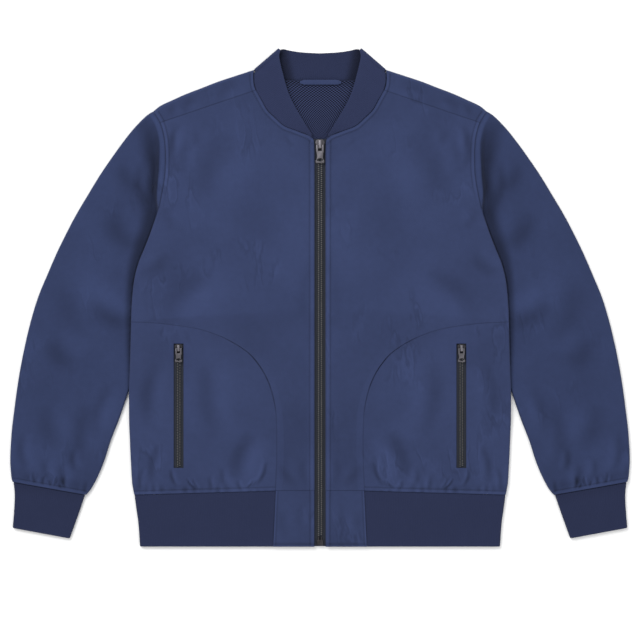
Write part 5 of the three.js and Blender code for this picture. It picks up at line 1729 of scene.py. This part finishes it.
@dataclass
class Hardware(SubAssembly):
    """The metal and tape of one zip: teeth, tapes, slider and pull tab."""

    low: float = 5.0
    bar: float = 0.65
    clear: float = 0.3
    leg: float = 1.5
    bridge_wall: float = 1.2
    pitch: float = 2.78

    @staticmethod
    def plate(name: str, right: Sequence[Pair], x: float, low: float, high: float) -> Piece:
        """A flat plate: a filled ring of points, moved to an outline and extruded up.

        Args:
            name: Name of the piece.
            right: Points of the outline's right half, beside the middle.
            x: Where the middle lies.
            low: Height of its underside.
            high: Height of its top.

        Returns:
            The plate.
        """
        outline = [(x + px, py, low) for px, py in right] + [(x - px, py, low) for px, py in reversed(right)]
        deselect()
        bpy.ops.mesh.primitive_circle_add(vertices=len(outline), radius=1, fill_type="NGON")
        piece = bpy.context.active_object
        piece.name = piece.data.name = name
        piece.data.vertices.foreach_set("co", (np.array(outline) * MM).ravel())
        edit(
            piece,
            lambda: bpy.ops.mesh.extrude_region_move(
                TRANSFORM_OT_translate={"value": (0, 0, (high - low) * MM)}),
            lambda: bpy.ops.mesh.select_all(action="SELECT"),
            lambda: bpy.ops.mesh.normals_make_consistent(inside=False),
        )
        return piece

    @staticmethod
    def block(
        x: Sequence[float], y: Sequence[float], z: Sequence[float], round_off: float = 0.0, steps: int = 1,
    ) -> Piece:
        """A block between three pairs of places, its edges rounded off in a few steps."""
        deselect()
        bpy.ops.mesh.primitive_cube_add(size=1)
        piece = bpy.context.active_object
        set_place(piece, [(b - a) * MM for a, b in (x, y, z)], [(a + b) / 2 * MM for a, b in (x, y, z)])
        if round_off:
            apply_modifier(piece, "BEVEL", width=round_off * MM, segments=steps)
        return piece

    @staticmethod
    def join(first: Piece, second: Piece, operation: str) -> None:
        """Joins or cuts one piece with another, which is used up."""
        choose(first)
        modifier = first.modifiers.new("join", "BOOLEAN")
        modifier.operation, modifier.object, modifier.solver = operation, second, "EXACT"
        bpy.ops.object.modifier_apply(modifier=modifier.name)
        bpy.data.objects.remove(second)

    @staticmethod
    def _soften(piece: Piece, width: float) -> None:
        """Rounds off a piece's sharp edges."""
        apply_modifier(piece, "BEVEL", width=width * MM, segments=3, limit_method="ANGLE", angle_limit=0.7)

    def slider(self, size: SliderSize, x: float, node: str) -> None:
        """Makes a slider: two plates with the throat between them and a bridge over the top.

        Args:
            size: Its sizes.
            x: Where its middle lies.
            node: The node that it stands for.
        """
        foot, half, neck = size.top - size.length, size.width / 2, size.neck / 2
        right = [(neck, foot), (neck, foot + size.length * 0.35)]
        side_end = (half, size.top - size.length * 0.3)
        right += self._curve(right[-1], (half, foot + size.length * 0.5), side_end, 6)
        right += self._curve(
            right[-1], (half * 0.9, size.top - size.length * 0.08), (half * 0.45, size.top - 0.02), 6)
        right += [(half * 0.2, size.top)]
        plate = self.low + size.body
        piece = self.plate(node + "_body", right, x, self.low, plate)
        for sign in (-1, 1):
            across = sorted((x + sign * neck * 0.62, x + sign * (half + 2)))
            throat = self.block(across, (foot - 1, size.top + 1), (self.low + 1.0, plate - 1.1))
            self.join(piece, throat, "DIFFERENCE")
        self._soften(piece, 0.35)
        under = plate + 2 * (self.bar + self.clear)
        wide = size.bridge_width / 2
        start, end = size.top - size.bridge_to, size.top - size.bridge_from
        heights = (plate - 0.5, under + self.bridge_wall)
        bridge = self.block((x - wide, x + wide), (start, end), heights, 0.55, 3)
        inside = (start + self.leg, end - self.leg)
        space = self.block((x - wide - 1, x + wide + 1), inside, (plate - 0.001, under))
        self.join(bridge, space, "DIFFERENCE")
        self.join(piece, bridge, "UNION")
        self._metal(piece, node, "root")

    def tab(self, size: SliderSize, x: float, node: str, body: str) -> None:
        """Makes a pull tab: a waisted plate on a round bar, with an eye and an oval hole.

        Args:
            size: Its sizes.
            x: Where its middle lies.
            node: The node that it stands for.
            body: The body that it moves with.
        """
        axis_y, axis_z = size.top - size.pivot, self.low + size.body + self.clear + self.bar
        head, waist, end = size.tab_head / 2, size.tab_waist / 2, size.tab_end / 2
        foot, eye_foot = axis_y - size.tab_length, axis_y - size.eye_length
        middle = (eye_foot + foot) / 2
        right = [(head, axis_y), (head, eye_foot - 1)]
        right += self._curve(right[-1], (waist, eye_foot - 3), (waist, middle), 6)
        right += self._curve(
            right[-1], (waist, foot + size.tab_length * 0.22), (end, foot + size.tab_length * 0.14), 6)
        right += [(end, foot + 1.8)]
        right += self._curve(right[-1], (end, foot), (end - 2, foot), 5)
        piece = self.plate(node + "_plate", right, x, axis_z - self.bar, axis_z + self.bar)
        eye_side = size.eye_width / 2
        eye = self.block((x - eye_side, x + eye_side), (eye_foot, axis_y + 1), (axis_z - 2, axis_z + 2))
        self.join(piece, eye, "DIFFERENCE")
        deselect()
        bpy.ops.mesh.primitive_cylinder_add(vertices=24, radius=1, depth=1)
        hole = bpy.context.active_object
        radii = (size.hole_width / 2 * MM, size.hole_height / 2 * MM, 4 * MM)
        set_place(hole, radii, (x * MM, (foot + size.hole_from_end) * MM, axis_z * MM))
        self.join(piece, hole, "DIFFERENCE")
        self._soften(piece, 0.28)
        bar_length = size.tab_head - 0.1
        bpy.ops.mesh.primitive_cylinder_add(vertices=20, radius=self.bar * MM, depth=bar_length * MM)
        bar = bpy.context.active_object
        set_place(bar, to=(x * MM, axis_y * MM, axis_z * MM), lying=True)
        self.join(piece, bar, "UNION")
        self._metal(piece, node, body)

    @staticmethod
    def _curve(start: tuple, handle: tuple, end: tuple, steps: int) -> list:
        """Points after the start on a curve drawn towards a handle."""
        shares = [k / steps for k in range(1, steps + 1)]
        return [
            tuple((1 - t) ** 2 * a + 2 * t * (1 - t) * b + t * t * c for a, b, c in zip(start, handle, end))
            for t in shares
        ]

    def _metal(self, piece: Piece, node: str, body: str) -> None:
        """Dresses a metal piece in place of its node, with painted shade that makes its edges and sides
        darker than its flat tops.
        """
        smooth_shading(piece, 35)
        # Painted shade: a face the darker the less it looks up.
        edges = piece.data.attributes.new("shade", "FLOAT", "FACE")
        edges.data.foreach_set("value", [1 - max(0.0, face.normal.z) for face in piece.data.polygons])
        piece.name = piece.data.name = node + "_metal"
        self.wardrobe.dress(piece, "gunmetal", Slot.METAL, body)
        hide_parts(node)

    def teeth(self, name: str, node: str, x: float, y: Pair, reach: float, size: float = 1.0) -> None:
        """Makes an interlocked chain of teeth, one tooth copied along each side.

        Args:
            name: Name of the piece.
            node: The chain's node.
            x: Where the middle of the chain lies.
            y: Where the chain starts and ends.
            reach: Half the chain's width.
            size: Size of a tooth beside the front zip's.
        """
        pitch, low = self.pitch * size, self.low
        count = int((y[1] - y[0] - 1.5) // pitch)
        sides = []
        for sign in (-1, 1):
            first = y[0] + 0.8 + (pitch / 2 if sign > 0 else 0)
            across = sorted((x - sign * 0.8 * size, x + sign * reach))
            foot = self.block(across, (first, first + pitch * 0.55), (low + 0.1, low + 1.3 * size), 0.15)
            across = sorted((x + sign * 1.35 * size, x + sign * 2.9 * size))
            along = (first + 0.1, first + pitch * 0.5)
            point = self.block(across, along, (low + 0.6, low + 1.98 * size), 0.3)
            # The teeth in the painted-shade copy, their points in the painted-highlight copy.
            for part, finish in ((foot, "teeth_painted_shade"), (point, "tooth_points_painted_highlight")):
                part.data.materials.append(self.wardrobe.materials[finish])
            choose(foot)
            point.select_set(True)
            bpy.ops.object.join()
            apply_modifier(
                foot, "ARRAY", count=count, use_relative_offset=False, use_constant_offset=True,
                constant_offset_displace=(0, pitch * MM, 0),
            )
            sides.append(foot)
        choose(sides[0])
        sides[1].select_set(True)
        bpy.ops.object.join()
        piece = sides[0]
        piece.name = piece.data.name = name
        smooth_shading(piece, 35)
        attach(piece, "root")
        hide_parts(node)
        LOG.info("%s: %d teeth, %d faces", name, 2 * count, len(piece.data.polygons))

    def tape(self, name: str, node: str, x: Pair, y: Pair, cord: float) -> None:
        """Makes a woven tape with a raised cord along its inner edge.

        Args:
            name: Name of the piece.
            node: The tape's node.
            x: Its two edges.
            y: Its two ends.
            cord: Where the middle of the cord lies.
        """
        across = np.linspace(*x, 60)
        rows = np.linspace(*y, 40)
        ribs = 0.07 * np.sin(across * 2 * math.pi / 1.3)
        hill = 0.35 * near(np.abs(across) - abs(cord), 1.1) if cord else 0 * across
        height = self.low - self.clear - 0.12 + ribs * 0.8 + hill * 0.5
        points = np.stack(np.broadcast_arrays(across[None], rows[:, None], height[None]), axis=-1)
        grid = Grid(np.array(points), marker=(10, 10))
        self.sheet(grid, name, node, "zip_tape_weave", Slot.TAPE, "back_panel", 0.8)


@dataclass
class FrontZip(Hardware):
    """The front zip, closed to the neck."""

    foot: float = -351.0
    tape_top: float = 226.0
    tape_x: Pair = (0.3, 15.0)
    cord: float = 4.6
    chain_y: Pair = (-338.1, 210.6)

    def build(self) -> None:
        """Makes its tapes, teeth, box, slider and pull tab."""
        for side, sign in (("left", 1), ("right", -1)):
            wide = tuple(sorted(sign * x for x in self.tape_x))
            ends = (self.foot, self.tape_top)
            self.tape(f"front_tape_{side}", f"zip_tape_{side}", wide, ends, sign * self.cord)
        self.teeth("front_teeth", "zip_chain", 0, self.chain_y, 4.0)
        self._box()
        self.slider(MAIN_SLIDER, 0, "zip_slider")
        self.tab(MAIN_SLIDER, 0, "zip_tab", "front_tab")

    def _box(self) -> None:
        """The box that holds the two pins at the foot of the zip."""
        foot, low = self.foot, self.low
        piece = self.block((-4.4, 4.4), (foot, foot + 8), (low, low + 2.6), 0.8, 3)
        for x in (-2.1, 2.1):
            pin = self.block((x - 1.15, x + 1.15), (foot + 7, foot + 12.4), (low + 0.3, low + 2.2), 0.5, 3)
            self.join(piece, pin, "UNION")
        self.join(piece, self.block((-0.3, 0.3), (foot + 4, foot + 9), (low + 1.9, low + 3)), "DIFFERENCE")
        self._metal(piece, "zip_box", "root")


@dataclass
class PocketZips(Hardware):
    """The two pocket zips, closed."""

    hidden_tape: float = 6.0  # how far the tape reaches under the cloth beside the slot
    tape_beyond: float = 8.0  # and past its ends
    finer: float = 0.82  # size of a tooth beside the front zip's
    reach: float = 3.3  # half the chain's width

    def build(self) -> None:
        """Makes both zips."""
        chain = (SLOT_BOTTOM + 1, POCKET_SLIDER.top - POCKET_SLIDER.length - 0.3)
        ends = (SLOT_BOTTOM - self.tape_beyond, SLOT_TOP + self.tape_beyond)
        half = SLOT_WIDTH / 2 + self.hidden_tape
        for side, x in (("left", SLOT_X), ("right", -SLOT_X)):
            self.tape(f"pocket_tape_{side}", f"pocket_zip_tape_{side}", (x - half, x + half), ends, 0)
            self.teeth(f"pocket_teeth_{side}", f"pocket_zip_chain_{side}", x, chain, self.reach, self.finer)
            self.slider(POCKET_SLIDER, x, f"pocket_zip_slider_{side}")
            self.tab(POCKET_SLIDER, x, f"pocket_zip_tab_{side}", f"pocket_tab_{side}")


@dataclass
class Studio:
    """Plain pale floor, soft light and a camera straight above."""

    pixel: float = 1.42  # millimetres a pixel in the photograph's frame, at the height of the cloth
    frame_size: int = 640
    centre_y: float = -31.2
    distance: float = 2200.0
    sensor: float = 36.0
    below: float = 0.3  # how far the floor lies under the jacket
    floor_size: float = 9.0  # metres
    sky: float = 0.65
    # Name, place in metres, size in metres and power of each lamp
    lamps: tuple = (("key", (-1.3, 1.7, 2.5), 1.8, 79.0), ("fill", (1.6, -1.2, 2.4), 2.2, 26.0))

    def build(self) -> None:
        """Sets the floor, lights, world, camera and view transform."""
        scene = bpy.context.scene
        scene.view_settings.view_transform = "Standard"
        deselect()
        bpy.ops.mesh.primitive_plane_add(size=self.floor_size, location=(0, 0, 0))
        floor = bpy.context.active_object
        floor.name = "floor"
        set_place(floor, to=(0, 0, -self.below * MM))
        floor.data.materials.append(self._floor_finish())
        world = bpy.data.worlds.new("studio")
        world.use_nodes = True
        sky = world.node_tree.nodes["Background"]
        Nodes(world.node_tree).fill(sky, Color=(1, 1, 1, 1), Strength=self.sky)
        scene.world = world
        for name, place, size, power in self.lamps:
            lamp = bpy.data.lights.new(name, "AREA")
            lamp.size, lamp.energy = size, power
            light = bpy.data.objects.new(name, lamp)
            light.location = place
            light.rotation_euler = self._aim(place)
            scene.collection.objects.link(light)
        camera = bpy.data.cameras.new("camera")
        camera.sensor_width = self.sensor
        camera.lens = self.sensor * self.distance / (self.pixel * self.frame_size)
        seat = bpy.data.objects.new("camera", camera)
        seat.location = (0, self.centre_y * MM, (self.distance + 5) * MM)
        scene.collection.objects.link(seat)
        scene.camera = seat

    @staticmethod
    def _aim(place: Sequence[float]) -> tuple[float, float, float]:
        """Rotation that points a lamp at the middle of the floor."""
        x, y, z = place
        return (math.atan2(math.hypot(x, y), z), 0.0, math.atan2(y, x) + math.pi / 2)

    @staticmethod
    def _floor_finish() -> Material:
        """Pale matt paper with a faint unevenness."""
        made, pad, shader = new_material("pale_floor")
        place = pad.add("ShaderNodeTexCoord").outputs["Object"]
        tone = pad.math("MULTIPLY_ADD", pad.noise(place, 3, 2), 0.02, 0.9)
        pad.fill(shader, Base_Color=tone, Roughness=0.9, Specular_IOR_Level=0.1)
        return made


def main() -> None:
    """Sets up the studio and builds the jacket's sub-assemblies around the frame."""
    logging.basicConfig(level=logging.INFO, format="%(name)s: %(message)s")
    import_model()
    Studio().build()
    wardrobe = Wardrobe()
    cloth = (BackPanel, FrontPanels, PocketPanels, Sleeves, Ribs, HemTabs, NeckInside)
    for assembly in (*cloth, FrontZip, PocketZips):
        LOG.info("building %s", assembly.__name__)
        assembly(wardrobe).build()


if __name__ == "__main__":
    main()
